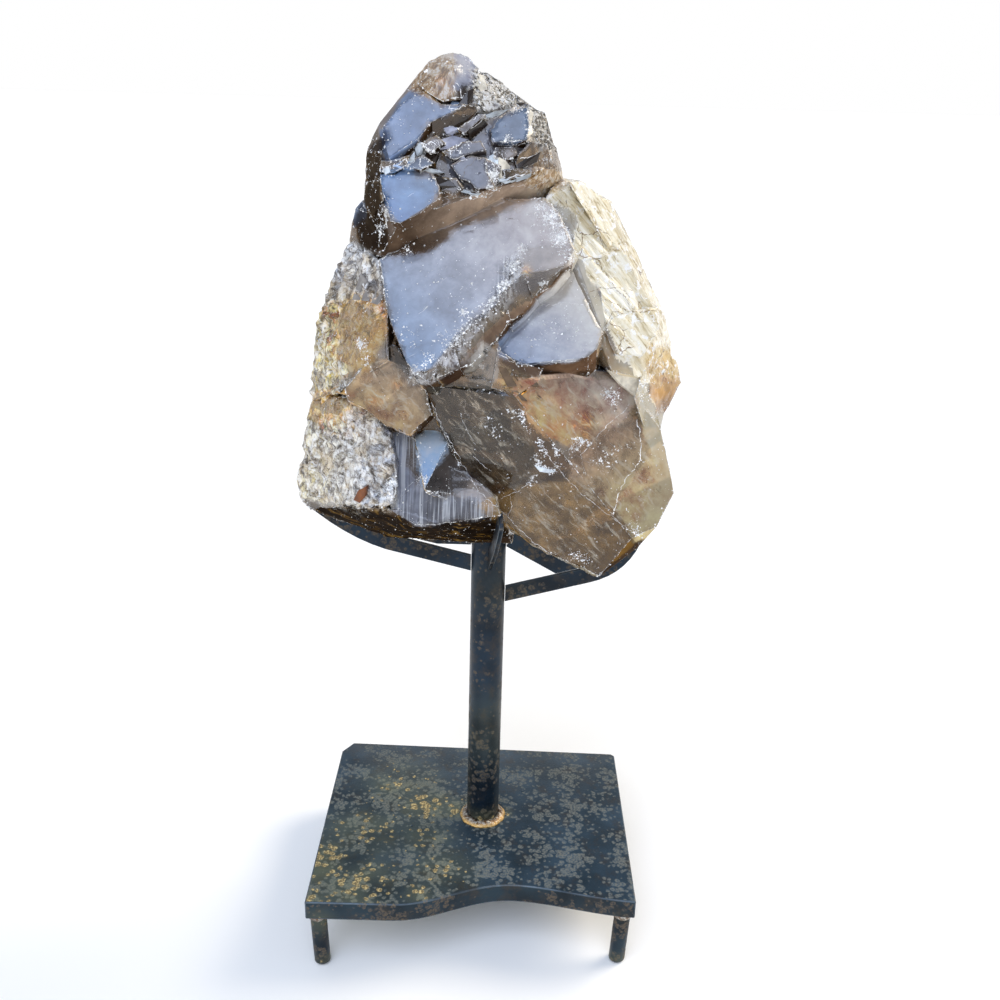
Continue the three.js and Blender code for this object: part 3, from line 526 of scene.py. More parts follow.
# %% Weigh the places
def spread_out(weights, pairs, rounds):
    """Softens weights by mixing each one with its neighbours'."""
    counts = np.maximum(np.bincount(pairs.ravel(), minlength=len(weights)), 1)
    columns = weights.reshape(len(weights), -1).copy()
    for _ in range(rounds):
        for c in range(columns.shape[1]):
            total = np.bincount(pairs[:, 0], columns[pairs[:, 1], c], len(columns))
            total += np.bincount(pairs[:, 1], columns[pairs[:, 0], c], len(columns))
            columns[:, c] = 0.4 * columns[:, c] + 0.6 * total / counts
    return columns.reshape(weights.shape)


def reads_of(bm):
    """Places, normals and neighbour pairs of a mesh's points."""
    bm.normal_update()
    bm.verts.index_update()
    bm.faces.index_update()
    points = np.array([v.co for v in bm.verts])
    normals = np.array([v.normal for v in bm.verts])
    pairs = np.array([[v.index for v in e.verts] for e in bm.edges])
    return points, normals, pairs


points, normals, pairs = reads_of(bm)
facing = np.einsum("ij,ij->i", np.array(STATION) - points, normals) > 0
weights = {kind: spread_out(found.astype(float), pairs, 2)
           for kind, found in places_of(points, facing).items()}

edge_weight = np.zeros(len(points))
for e in bm.edges:
    if e.calc_face_angle_signed(0) > SHARP:
        edge_weight[[v.index for v in e.verts]] = 1.0
weights["edge"] = edge_weight

marks = on_sheet(points)
for kind, patches in [("frost", FROST), ("painted_glint", PAINTED_GLINTS)]:
    weights[kind] = np.zeros(len(points))
    for across, height, radius, strength in patches:
        away = np.hypot(marks[:, 0] - across, marks[:, 1] - height) / radius
        weights[kind] = np.maximum(weights[kind], strength * np.exp(-away ** 2) * facing)
weights["frost"] = np.maximum(weights["frost"], weights["rim"] * 0.35)
weights["crust"] *= 1 - 0.5 * weights["gold"]
weights["striated"] *= 1 - weights["under"]
print("crusted points:", int((weights["crust"] > 0.5).sum()), "edge points:", int(edge_weight.sum()))

# %% [markdown]
# ## The rock: heights of each pattern
# A pattern gives a height in mm for a place. Crystals packed side by side come from a Voronoi noise,
# ribs from a slope that repeats, swirls from folded noise. A table then says which patterns each kind
# of place wears and how strongly, so a place that is half crust gets half of its relief.

# %% Push the relief out
RIB_RUN = Vector((0.675, -0.737))      # the pale ribs' direction on the sheet


def small_crystals(place, size_mm):
    """Height, in sizes, of small crystals packed side by side, each leaning its own way."""
    where = place * pattern_scale(size_mm)
    centre = noise.voronoi(where)[1][0]
    lean = noise.noise_vector(centre * 7.3)
    return 0.5 * noise.noise(centre * 3.1) + lean.dot(where - centre)


def ribs(mark, place, size_mm):
    """Height of long sloping ribs across the rib direction, from -1 to 1."""
    across = mark[0] * -RIB_RUN.y + mark[1] * RIB_RUN.x
    warp = noise.noise(place * pattern_scale(40)) * 6
    phase = ((across + warp) / size_mm) % 1.0
    return 2 * min(phase / 0.75, (1 - phase) / 0.25) - 1


def growth_steps(place, size_mm):
    """Very low flat terraces with soft risers, as crystals leave on their faces."""
    level = 4 * noise.noise(place * pattern_scale(size_mm))
    rest = level - math.floor(level)
    return math.floor(level) + min(1.0, rest * 5)


def swirls(place, size_mm):
    """Height, from about -1 to 1, of folds that run in swirls."""
    where = place * pattern_scale(size_mm)
    bent = where + 1.3 * noise.noise_vector(where * 0.6)
    return 1 - 2.6 * abs(noise.noise(bent))


def drawn_up(place, share):
    """A place squeezed in height, so that a pattern read there is drawn out upright."""
    return Vector((place.x, place.y, place.z * share))


def striations(place):
    """Height, from -1 to 1, of fine straight upright lines."""
    return noise.noise(Vector((place.x, place.y * 0.04, place.z * 0.04)) * pattern_scale(3))


def chipped(place):
    """How deep an edge is chipped: a little everywhere, with a bigger bite here and there."""
    bite = max(0.0, noise.noise(place * pattern_scale(11)) - 0.22) * 3.5
    return bite + max(0.0, 0.2 + 0.8 * noise.noise(place * pattern_scale(4)))


# How far out each kind of place is pushed, in mm, at a place p with its mark m on the sheet.
RELIEFS = {
    "crust": lambda p, m: 2.2 * swirls(p, 16) + 0.5 * swirls(p, 6) + 1.7 * small_crystals(p, 7.5) - 0.5,
    "rim": lambda p, m: 1.7 * small_crystals(p, 5.5) + 0.7 * small_crystals(p, 2.6) - 0.5,
    "flank": lambda p, m: 1.5 * small_crystals(drawn_up(p, 0.3), 5.5) + 0.4 * small_crystals(p, 2.8),
    "speckled": lambda p, m: 1.8 * small_crystals(p, 4.6) + 0.9 * small_crystals(p, 2.4),
    "broken": lambda p, m: 0.9 * small_crystals(p, 9) + 0.3 * small_crystals(p, 3.5),
    "pale": lambda p, m: 0.7 * ribs(m, p, 9.5) + 0.3 * ribs(m, p, 4.1) + 0.4 * small_crystals(p, 18),
    "under": lambda p, m: 1.6 * small_crystals(p, 16),
    "knob": lambda p, m: 1.2 * small_crystals(p, 6),
    "steps": lambda p, m: 1.6 * small_crystals(p, 8),
    "feathered": lambda p, m: 1.1 * small_crystals(drawn_up(p, 0.3), 4),
    "striated": lambda p, m: 0.35 * striations(p),
    "edge": lambda p, m: -chipped(p),
}
FAINT = 0.02      # a weight this low is passed over


def relief(place, mark, at):
    """How far out a point is pushed, in mm, for its weights."""
    out = 0.16 * noise.noise(place * pattern_scale(17)) + 0.10 * growth_steps(place, 45)
    return out + sum(at[kind] * height(place, mark) for kind, height in RELIEFS.items()
                     if at[kind] > FAINT)


kinds = list(weights)
table = np.stack([weights[kind] for kind in kinds], axis=1)
moves = np.array([relief(Vector(place), mark, dict(zip(kinds, row)))
                  for place, mark, row in zip(points, marks, table)])
print("relief from", round(moves.min(), 2), "to", round(moves.max(), 2), "mm")

# %% [markdown]
# ## The rock: the colour of its faces
# Each face of a crystal takes one colour from what shows through it and what it mirrors, and changes
# sharply at an edge. So the colour is kept per triangle, and is softened only between triangles that
# are not parted by a sharp edge. Faces that look up are painted milky blue to lilac: a milky etched
# skin with a painted reflection of the sky. Faces that look down or stand steep are painted brown: the
# brown inside with painted shade. The named faces have colours of their own, painted the same way.

# %% Colour the faces
centres = np.array([f.calc_center_median() for f in bm.faces])
looks = np.array([f.normal for f in bm.faces])
face_points = np.array([[v.index for v in f.verts] for f in bm.faces])
same_face = np.array([[f.index for f in e.link_faces] for e in bm.edges
                      if e.calc_face_angle(0) < SHARP and len(e.link_faces) == 2])


def mixed(first, second, share):
    """Colours between two colours, one row for each share."""
    share = np.asarray(share)[:, None]
    return (1 - share) * np.array(first)[..., :3] + share * np.array(second)[..., :3]


def ramp(values, stops):
    """Colours for values, from stops of (value, hex colour)."""
    places = [place for place, _ in stops]
    colours = np.array([linear(colour)[:3] for _, colour in stops])
    return np.stack([np.interp(values, places, colours[:, c]) for c in range(3)], axis=1)


def face_weight(kind):
    """The mean weight of each triangle's points."""
    return weights[kind][face_points].mean(axis=1)


drift = np.array([noise.noise(Vector(p) * pattern_scale(55)) for p in centres])
# Painted sky reflection and shade: the higher a face looks, the bluer; the lower, the darker brown.
tint = ramp(looks[:, 2] + 0.25 * drift, [
    (-0.7, "#3a2b1f"), (-0.25, "#57432f"), (0.0, "#8a7459"), (0.25, "#9c8a72"), (0.5, "#938e90"),
    (0.75, "#8691a6"), (1.0, "#949fb4")])
crust_ground = ramp(drift, [(-0.4, "#b3a98f"), (0.0, "#a6a39c"), (0.4, "#b89f6c")])
tint += face_weight("crust")[:, None] * (crust_ground - tint)
face_facing = np.einsum("ij,ij->i", np.array(STATION) - centres, looks) > 0
face_front = in_front(centres, face_facing)
face_marks = shaken(on_sheet(centres), centres, 1.5, 9)
for name, (outline, start, end) in TINTS.items():
    member = inside(outline, face_marks) & face_front
    run = np.array(end[:2]) - np.array(start[:2])
    share = ((face_marks[member] - np.array(start[:2])) @ run) / (run @ run)
    tint[member] = mixed(linear(start[2]), linear(end[2]), np.clip(share, 0, 1))
# Steep faces in broken places are painted near-black: painted shade.
steep_shade = np.clip((0.62 - looks[:, 2]) / 0.15, 0, 1) * face_weight("broken")
tint = mixed(tint, linear("#2e241c"), 0.85 * steep_shade)
tint = spread_out(tint, same_face, 3)
rough_tint = spread_out(tint, same_face, 22)
tint += face_weight("crust")[:, None] * (rough_tint - tint)
# The underside is painted near-black as painted shade; the left flank takes the same dark brown.
tint = mixed(tint, linear("#1d1611"), 0.92 * np.maximum(face_weight("flank"), face_weight("under")))
stain = 0.5 + 0.5 * np.array([noise.noise(Vector(p) * pattern_scale(12)) for p in centres])
pale = mixed(linear(PALE_STAINS[0]), linear(PALE_STAINS[1]), stain)
tint = tint + face_weight("pale")[:, None] * (pale - tint)
knob_colour = ramp(face_marks[:, 1], [(362, "#835617"), (378, "#bd8c3f"), (402, "#e6cd98")])
tint += 0.85 * face_weight("knob")[:, None] * (knob_colour - tint)
druzy = np.maximum.reduce([face_weight(kind) for kind in ("crust", "pale", "knob")]) > 0.5
milky = (looks[:, 2] > 0.42) & ~druzy
shaded = (np.maximum(face_weight("flank"), face_weight("under")) > 0.5) | (looks[:, 2] < -0.3)
# Dense and shaded faces: the dark risers, for thick smoke with painted shade.
dense_and_shaded = np.zeros(len(looks), bool)
for name in DENSE_AND_SHADED_FACES:
    dense_and_shaded |= inside(TINTS[name][0], face_marks) & face_front & ~milky
print("faces: druzy", int(druzy.sum()), "milky", int(milky.sum()), "dense_and_shaded", int(dense_and_shaded.sum()),
      "shaded", int(shaded.sum()))

# %% [markdown]
# ## Smoky quartz
# Quartz is clear and harder than steel, with an index of refraction of 1.544. Natural radiation has
# smoked it brown, so light that crosses more of it comes out darker: that is a volume that absorbs.
# Healed cracks and etched skins scatter light, so a body of quartz is part clear and part cloudy:
# transmission stays a plain value, and each finish has its own. Fresh and steep faces are the
# clearest, faces that look up have a milky etched skin, and crust is far cloudier. One function makes
# all five finishes, and each has the same smoke inside.

# %% Quartz materials
QUARTZ_IOR = 1.544
SMOKE_COLOUR = "#c7a271"
SMOKE_DENSITY = 5.0       # per metre
CRYSTAL_LEAN = 2000       # bump per metre: how steeply the small crystals of the crust lean
RIB_TURN = math.atan2(-RIB_RUN.y, RIB_RUN.x)      # turns the X axis along the ribs
UPRIGHT = (0.0, math.pi / 2, 0.0)                 # turns the X axis upright


def quartz(name, transmission, roughness, shine=0.5):
    """Smoky quartz with the colours, stains and chips that are stored on the mesh."""
    material, tree, shader, output, place = new_material(name)
    node = partial(add, tree)
    weight = {kind: node("Attribute", attribute_name=kind).outputs["Fac"]
              for kind in ("crust", "gold", "frost", "edge", "pale", "striated", "fibrous",
                           "speckled", "flank", "feathered", "painted_glint", "snowy", "rim", "under")}
    colour = node("Attribute", attribute_name="tint").outputs["Color"]

    # Coordinates bent a little and a lot, and coordinates drawn out along one direction.
    wander = node("TexNoise", {"Vector": place, "Scale": pattern_scale(14), "Detail": 4.0})
    bent, bent_less, bent_little = [node("VectorMath", [wander.outputs["Color"], (by * MM,) * 3, place],
                                         operation="MULTIPLY_ADD") for by in (16, 5, 0.25)]
    drawn = {title: node("Mapping", {"Vector": where, "Rotation": turn, "Scale": stretch},
                         vector_type="TEXTURE")
             for title, where, turn, stretch in [
                 ("ribs", bent_less, (0.0, RIB_TURN, 0.0), (16, 1, 1)),
                 ("upright", bent_little, UPRIGHT, (40, 40, 1)), ("feather", bent_less, UPRIGHT, (4, 1, 1)),
                 ("scratch", bent_less, (0.2, -0.7, 0.3), (28, 1, 1)),
                 ("veil", bent_less, (0.4, 0.75, 0.2), (3.2, 1, 1)),
                 ("flow", bent, (0.2, 0.5, 0.3), (2.2, 1, 1))]}

    # All the noises: where they are read, the size of one feature in mm, detail, roughness, twist.
    noises = {title: node("TexNoise", {"Vector": where, "Scale": pattern_scale(size_mm), "Detail": detail,
                                       "Roughness": rough, "Distortion": twist})
              for title, where, size_mm, detail, rough, twist in [
                  ("cloud", place, 15, 5, 0.66, 0.2), ("smoke", bent, 27, 4, 0.6, 0.0),
                  ("bloom", place, 30, 2, 0.5, 0.0), ("veil", drawn["veil"], 5.5, 4, 0.74, 0.7),
                  ("ribs", drawn["ribs"], 2.8, 3, 0.68, 0.0), ("wide ribs", drawn["ribs"], 9, 3, 0.6, 0.0),
                  ("upright", drawn["upright"], 1.3, 2, 0.6, 0.0),
                  ("feather", drawn["feather"], 3.2, 3, 0.7, 0.0), ("fan", drawn["flow"], 2.6, 3, 0.7, 1.2),
                  ("flank", drawn["feather"], 2.8, 3, 0.7, 0.0),
                  ("scratch", drawn["scratch"], 1.6, 2, 0.6, 0.0),
                  ("fold", drawn["flow"], 7.0, 4, 0.60, 0.6), ("grit", place, 2.0, 2, 0.78, 0.6),
                  ("snow", place, 6.5, 5, 0.72, 0.4), ("chip", place, 3.0, 4, 0.75, 0.0),
                  ("mottle", place, 10, 4, 0.7, 0.0)]}

    # Ramps turn a noise into colours.
    shades = {title: node("ValToRGB", [noises[source]], stops=stops) for title, source, stops in [
        ("cloud", "cloud", [(0.33, "#77706a"), (0.46, "#aeaaa5"), (0.54, "#cac7c2"), (0.68, "#f4f1ea")]),
        ("gold", "snow", [(0.36, "#7a4a18"), (0.44, "#bd8432"), (0.50, "#e3b961"), (0.57, "#ffeab4"),
                          (0.64, "#ffffff")]),
        # Painted glint: gold where a crack under the skin sends light back.
        ("painted_glint", "veil", [(0.38, "#7d5a35"), (0.46, "#c98a45"), (0.52, "#ffc270"), (0.59, "#fff3cc")]),
        ("snowy", "chip", [(0.40, "#3a3128"), (0.44, "#a99e8a"), (0.48, "#efe9dc"), (0.56, "#ffffff")]),
        ("rim", "feather", [(0.36, "#2c251f"), (0.44, "#857e78"), (0.50, "#d5d6da"), (0.57, "#ffffff")]),
        # Underside: painted gold-brown reflections in streaks over near-black.
        ("under", "fold", [(0.40, "#0b0806"), (0.56, "#2a1d0f"), (0.62, "#7d5c26"), (0.68, "#b08c47")]),
        ("granular", "chip", [(0.44, "#120f0d"), (0.48, "#4b4237"), (0.505, "#d9d3c2"), (0.56, "#ffffff")]),
        ("feather", "feather", [(0.37, "#5a4026"), (0.46, "#a37d50"), (0.53, "#cfb48c"), (0.60, "#f6f1ea")]),
        # Painted shade along the pale ribs.
        ("ribs", "ribs", [(0.34, "#ab9b78"), (0.42, "#ded5be"), (0.50, "#f6f2e6"), (0.58, "#ffffff")])]}

    # Shares between 0 and 1: a value, the span it is read over, and what that span gives.
    shares = {title: node("MapRange", [value, low, high, to_low, to_high])
              for title, value, low, high, to_low, to_high in [
                  ("smoke", noises["smoke"], 0.54, 0.72, 0.0, 0.55),
                  ("wisp", noises["veil"], 0.53, 0.68, 0.0, 0.75),
                  ("lit wisp", noises["veil"], 0.40, 0.30, 0.0, 0.55),
                  # Painted shade between the wide pale ribs.
                  ("wide rib", noises["wide ribs"], 0.38, 0.48, 0.5, 0.0),
                  ("cloud", weight["fibrous"], 0.0, 1.0, 0.5, 0.95),
                  ("painted_glint", noises["veil"], 0.42, 0.54, 0.0, 1.0),
                  ("dirt", noises["cloud"], 0.50, 0.62, 0.0, 0.7),
                  # Painted shade in crust crevices (brown swirls in the gold), painted highlights on crests
                  # and fans, and painted sparkle and shade in the grit.
                  ("crevice shade and swirl", noises["fold"], 0.45, 0.36, 0.0, 0.75),
                  ("crest painted highlight", noises["fold"], 0.57, 0.66, 0.0, 0.6),
                  ("snow", noises["snow"], 0.545, 0.60, 0.0, 0.9),
                  # Striations: painted highlight on the crests, painted shade in the grooves.
                  ("crest", noises["upright"], 0.54, 0.62, 0.0, 0.6),
                  ("groove", noises["upright"], 0.36, 0.45, 0.5, 0.0),
                  ("grit painted sparkle", noises["grit"], 0.62, 0.68, 0.0, 0.35),
                  ("grit painted shade", noises["grit"], 0.32, 0.39, 0.3, 0.0),
                  ("fan painted highlight", noises["fan"], 0.56, 0.62, 0.0, 0.6),
                  ("fan painted shade", noises["fan"], 0.38, 0.46, 0.8, 0.0),
                  ("dusky", noises["mottle"], 0.50, 0.36, 0.0, 0.75),
                  ("creamy", noises["mottle"], 0.54, 0.68, 0.0, 0.5),
                  ("gold", noises["fold"], 0.36, 0.50, 0.25, 1.0),
                  ("streak", noises["flank"], 0.655, 0.69, 0.0, 0.95),
                  ("scratch", noises["scratch"], 0.68, 0.74, 0.0, 1.0),
                  ("scratched", noises["bloom"], 0.46, 0.56, 0.0, 0.55),
                  ("cracked", noises["bloom"], 0.5, 0.56, 0.0, 1.0),
                  ("edge", weight["edge"], 0.55, 0.95, 0.0, 0.85)]}

    # Hairline cracks run along the borders of large warped cells, and only here and there.
    cells = node("TexVoronoi", {"Vector": bent, "Scale": pattern_scale(34)}, feature="DISTANCE_TO_EDGE")
    hairline = node("Math", [node("MapRange", [cells, 0.004, 0.011, 1.0, 0.0]), shares["cracked"]],
                    operation="MULTIPLY")
    # Druzy crust: tiny drawn-out crystals, each with its own tone and a painted glint, from dark brown
    # to silver-blue and white, with painted shade where they meet.
    druse = node("TexVoronoi", {"Vector": drawn["flow"], "Scale": pattern_scale(4.8)})
    own = node("SeparateColor", [druse.outputs["Color"]])
    crystal_tone_and_glint = node("ValToRGB", [own], stops=[
        (0.00, "#3a3026"), (0.14, "#7b6f60"), (0.30, "#a19a90"), (0.46, "#b7bcc6"), (0.62, "#dce3ed"),
        (0.76, "#f4e9d0"), (0.88, "#ffffff"), (1.00, "#8e9cb4")])
    crystal_meeting_shade = node("MapRange", [druse, 0.46, 0.80, 0.0, 0.7])
    from_middle = node("VectorMath", [drawn["flow"], druse.outputs["Position"]], operation="SUBTRACT")
    leaning = node("VectorMath", [druse.outputs["Color"], (0.5, 0.5, 0.5)], operation="SUBTRACT")
    lean = node("VectorMath", [from_middle, leaning], operation="DOT_PRODUCT").outputs["Value"]

    # Specks: a dot in some of many small cells.
    dust = node("TexVoronoi", {"Vector": place, "Scale": pattern_scale(4.2)})
    chosen = node("SeparateColor", [dust.outputs["Color"]])
    dot = node("Math", [dust, node("MapRange", [chosen.outputs["Green"], 0.55, 1.0, 0.02, 0.15])],
               operation="LESS_THAN")
    speck = node("Math", [dot, node("MapRange", [chosen.outputs["Blue"], 0.60, 0.62])],
                 operation="MULTIPLY")

    # Layers from the bottom up: how they mix, their colour, their share, and where they belong.
    layers = [
        ("OVERLAY", shades["cloud"], shares["cloud"], None),
        ("MULTIPLY", linear("#6b5a4c"), shares["smoke"], "fibrous"),
        ("MIX", linear("#efe6d2"), shares["wisp"], "fibrous"),
        ("MULTIPLY", linear("#8a7458"), shares["lit wisp"], "fibrous"),
        ("MIX", linear("#e9e6df"), node("Math", [hairline, 0.25], operation="MULTIPLY"), "fibrous"),
        # Pale skin: painted shade along the ribs and between the wide ribs, then white crust and cracks.
        ("MULTIPLY", shades["ribs"], 0.9, "pale"),
        ("MULTIPLY", linear("#c9ba98"), shares["wide rib"], "pale"),
        ("MIX", linear("#ffffff"), shares["snow"], "pale"),
        ("MIX", linear("#7a6448"), hairline, "pale"),
        # Striated faces: white crests as a painted highlight, darker grooves as painted shade.
        ("MIX", linear("#e8ecf2"), shares["crest"], "striated"),
        ("MULTIPLY", linear("#6a6460"), shares["groove"], "striated"),
        ("MIX", shades["feather"], 0.65, "feathered"),
        ("MIX", shades["gold"], 0.85, "gold"),
        # Brown swirls in the gold; in the crust the same share is painted crevice shade.
        ("MIX", linear("#5d3912"), shares["crevice shade and swirl"], "gold"),
        # Crust: each crystal's tone and painted glint, painted shade in crevices and where crystals meet,
        # painted highlights on crests and fans, and painted sparkle and shade in the grit.
        ("OVERLAY", crystal_tone_and_glint, 0.85, "crust"),
        ("MULTIPLY", linear("#8d7c66"), shares["dusky"], "crust"),
        ("MIX", linear("#f6efe0"), shares["creamy"], "crust"),
        ("MIX", linear("#e2b662"), 0.35, "gold"),
        ("MULTIPLY", linear("#6b5b49"), crystal_meeting_shade, "crust"),
        ("MIX", linear("#3a2e22"), shares["crevice shade and swirl"], "crust"),
        ("MULTIPLY", linear("#5a4a38"), shares["fan painted shade"], "crust"),
        ("MIX", linear("#fbfbf8"), shares["crest painted highlight"], "crust"),
        ("MIX", linear("#f4f7fc"), shares["fan painted highlight"], "crust"),
        ("MULTIPLY", linear("#cbb48a"), shares["dirt"], "crust"),
        # Painted glints: gold patches where a crack under the skin sends light back.
        ("MIX", shades["painted_glint"], shares["painted_glint"], "painted_glint"),
        ("MIX", linear("#ffffff"), shares["grit painted sparkle"], "crust"),
        ("MIX", linear("#2b2119"), shares["grit painted shade"], "crust"),
        ("MIX", shades["granular"], 0.95, "speckled"),
        ("MIX", shades["snowy"], 0.95, "snowy"),
        ("MIX", shades["rim"], 0.5, "rim"),
        # Underside: painted gold-brown reflections in streaks over near-black.
        ("MIX", shades["under"], 0.45, "under"),
        ("MIX", linear("#eef3f8"), shares["streak"], "flank"),
    ]
    for blend, layer, share, kind in layers:
        if kind:
            share = node("Math", [share, weight[kind]], operation="MULTIPLY")
        colour = node("MixRGB", [share, colour, layer], blend_type=blend)

    # Scratches, specks, chipped edges and frosted patches are all white with crushed quartz.
    scratched = node("Math", [shares["scratch"], shares["scratched"]], operation="MULTIPLY")
    worn = node("Math", [shares["edge"], weight["frost"]], operation="MAXIMUM")
    need = node("Math", [worn, 0.27, -0.70], operation="MULTIPLY_ADD")
    frosted = node("MapRange", [node("Math", [noises["chip"], need]), 0.0, 0.06])
    white = node("Math", [frosted, speck], operation="MAXIMUM")
    white = node("Math", [white, scratched], operation="MAXIMUM")
    colour = node("MixRGB", [white, colour, linear("#f8f8f5")])

    polish = node("MapRange", [noises["mottle"], 0.35, 0.7, roughness * 0.5, roughness * 1.6])
    rough = node("Math", [white, 0.4, polish], operation="MULTIPLY_ADD")
    height = node("Math", [noises["mottle"], 0.3], operation="MULTIPLY")
    for pattern, kind, depth in [("upright", "striated", 1.2), ("ribs", "pale", 2.0), ("fold", "crust", 1.6),
                                 ("snow", "gold", 1.6), ("chip", "speckled", 2.5),
                                 ("feather", "feathered", 1.2)]:
        part = node("Math", [noises[pattern], weight[kind]], operation="MULTIPLY")
        height = node("Math", [part, depth, height], operation="MULTIPLY_ADD")
    facet = node("Math", [lean, weight["crust"]], operation="MULTIPLY")
    height = node("Math", [facet, CRYSTAL_LEAN, height], operation="MULTIPLY_ADD")
    bump = node("Bump", {"Height": height, "Distance": 0.55 * MM, "Strength": 0.9})
    fill(tree, shader, {"Base Color": colour, "Roughness": rough, "Normal": bump, "IOR": QUARTZ_IOR,
                        "Specular IOR Level": shine, "Transmission Weight": transmission})
    smoke = node("VolumeAbsorption", {"Color": linear(SMOKE_COLOUR), "Density": SMOKE_DENSITY})
    fill(tree, output, {"Volume": smoke})
    return material


# The dense finish lets less light through, for the risers' thick smoke and painted shade. The shaded finish
# mirrors nothing and lets almost nothing through: painted shade for the underside, the flank and faces that
# look down.
QUARTZ_FINISHES = [quartz("smoky_quartz_clear", 0.60, 0.06), quartz("smoky_quartz_etched", 0.42, 0.13),
                   quartz("smoky_quartz_druzy", 0.14, 0.13), quartz("smoky_quartz_dense_shaded", 0.20, 0.10, 0.3),
                   quartz("smoky_quartz_shaded", 0.03, 0.30, 0.0)]
print("quartz finishes:", [finish.name for finish in QUARTZ_FINISHES])

# %% [markdown]
# ## The rock: one finished mesh
# The points are moved, the weights and the tint are stored on the mesh for the material to read, and
# each triangle gets one of the five finishes. Broken and speckled places are shaded flat, since broken
# quartz has facets. The rest, crust and pale skin too, is smooth up to its sharp edges. The mesh
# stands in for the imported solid.

# %% Make the rock
for v, normal, move in zip(bm.verts, normals, moves):
    v.co += Vector(normal) * (move * MM)
rock_mesh = bpy.data.meshes.new("quartz_cluster")
bm.to_mesh(rock_mesh)
for kind in kinds:
    layer = rock_mesh.attributes.new(kind, "FLOAT", "POINT")
    layer.data.foreach_set("value", weights[kind].astype(np.float32))
tint_layer = rock_mesh.attributes.new("tint", "FLOAT_COLOR", "FACE")
opaque = np.ones((len(tint), 1))
tint_layer.data.foreach_set("color", np.hstack([tint, opaque]).astype(np.float32).ravel())
for finish in QUARTZ_FINISHES:
    rock_mesh.materials.append(finish)
rock_mesh.polygons.foreach_set("material_index",
                               np.select([shaded, druzy, dense_and_shaded, milky], [4, 2, 3, 1], 0))
rough_faces = np.maximum.reduce([face_weight(kind) for kind in ROUGH_KINDS
                                 if kind not in ("crust", "pale")]) > 0.3
rock_mesh.polygons.foreach_set("use_smooth", ~rough_faces)
rock_mesh.set_sharp_from_angle(angle=math.radians(34))
rock = placed("quartz_cluster", rock_mesh)
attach(rock, "root")
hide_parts("crystal")
bm.normal_update()
rock_tree = BVHTree.FromBMesh(bm)
print("rock mesh:", len(rock_mesh.polygons), "triangles")

# %% [markdown]
# ## Chips, specks and flakes
# A worked crystal is peppered with tiny flakes of crushed quartz: thickest on the edges and frosted
# patches, thin on the clear faces. They are thousands of small closed splinters in one mesh, thrown
# onto the rock's triangles by chance. A triangle's chance is its area times how much it draws them.

# %% Crushed quartz
def plain_finish(name, colour, roughness, transmission=0.0, metallic=0.0, size_mm=5):
    """A finish with an even colour that noise makes a little lighter and darker."""
    material, tree, shader, output, place = new_material(name)
    uneven = add(tree, "TexNoise", {"Vector": place, "Scale": pattern_scale(size_mm), "Detail": 5.0})
    shade = add(tree, "MapRange", [uneven, 0.3, 0.7, 0.6, 1.3])
    tinted = add(tree, "MixRGB", [1.0, linear(colour), shade], blend_type="MULTIPLY")
    rough = add(tree, "MapRange", [uneven, 0.3, 0.7, roughness * 0.7, min(1.0, roughness * 1.3)])
    fill(tree, shader, {"Base Color": tinted, "Roughness": rough, "Metallic": metallic,
                        "Transmission Weight": transmission})
    return material


def on_rock(mark):
    """Where the line of sight through a mark on the sheet meets the rock: place and normal."""
    through = AXIS + Vector((mark[0], 0, mark[1])) * MM
    place, normal, _, _ = rock_tree.ray_cast(STATION, (through - STATION).normalized())
    return place, normal


crushed_quartz = plain_finish("crushed_quartz", "#f2f3f4", 0.35)
crushed_quartz.node_tree.nodes["Principled BSDF"].inputs["IOR"].default_value = QUARTZ_IOR

moved_points, _, _ = reads_of(bm)
corners = moved_points[face_points]
areas = np.linalg.norm(np.cross(corners[:, 1] - corners[:, 0], corners[:, 2] - corners[:, 0]), axis=1) / 2
looks_now = [f.normal.copy() for f in bm.faces]


def scattered(draw, count, seed):
    """Chance places on the rock as (place, normal). draw is how much each triangle draws them."""
    dice = random.Random(seed)
    picks = dice.choices(range(len(areas)), weights=areas * draw, k=count)
    places = []
    for pick in picks:
        a, b = dice.random(), dice.random()
        if a + b > 1:
            a, b = 1 - a, 1 - b
        first, second, third = corners[pick]
        places.append((Vector(first + (second - first) * a + (third - first) * b), looks_now[pick]))
    return places


def mostly_small(smallest, largest):
    """A dice function for sizes in mm: many small ones and a few large ones."""
    return lambda dice: (smallest + (largest - smallest) * dice.random() ** 4) * MM


edge_draw = np.clip(face_weight("edge") - 0.3, 0, 1) * np.array(
    [max(0.0, noise.noise(Vector(p) * pattern_scale(16)) + 0.25) for p in centres])
clustered = np.array([max(0.0, noise.noise(Vector(p) * pattern_scale(13))) ** 2 for p in centres])
clean = 1 - np.maximum(face_weight("crust"), 0.7 * face_weight("pale"))
speck_draw = clean * (0.15 + 2.5 * clustered)
frost_draw = np.clip(face_weight("frost") - 0.25, 0, 1)

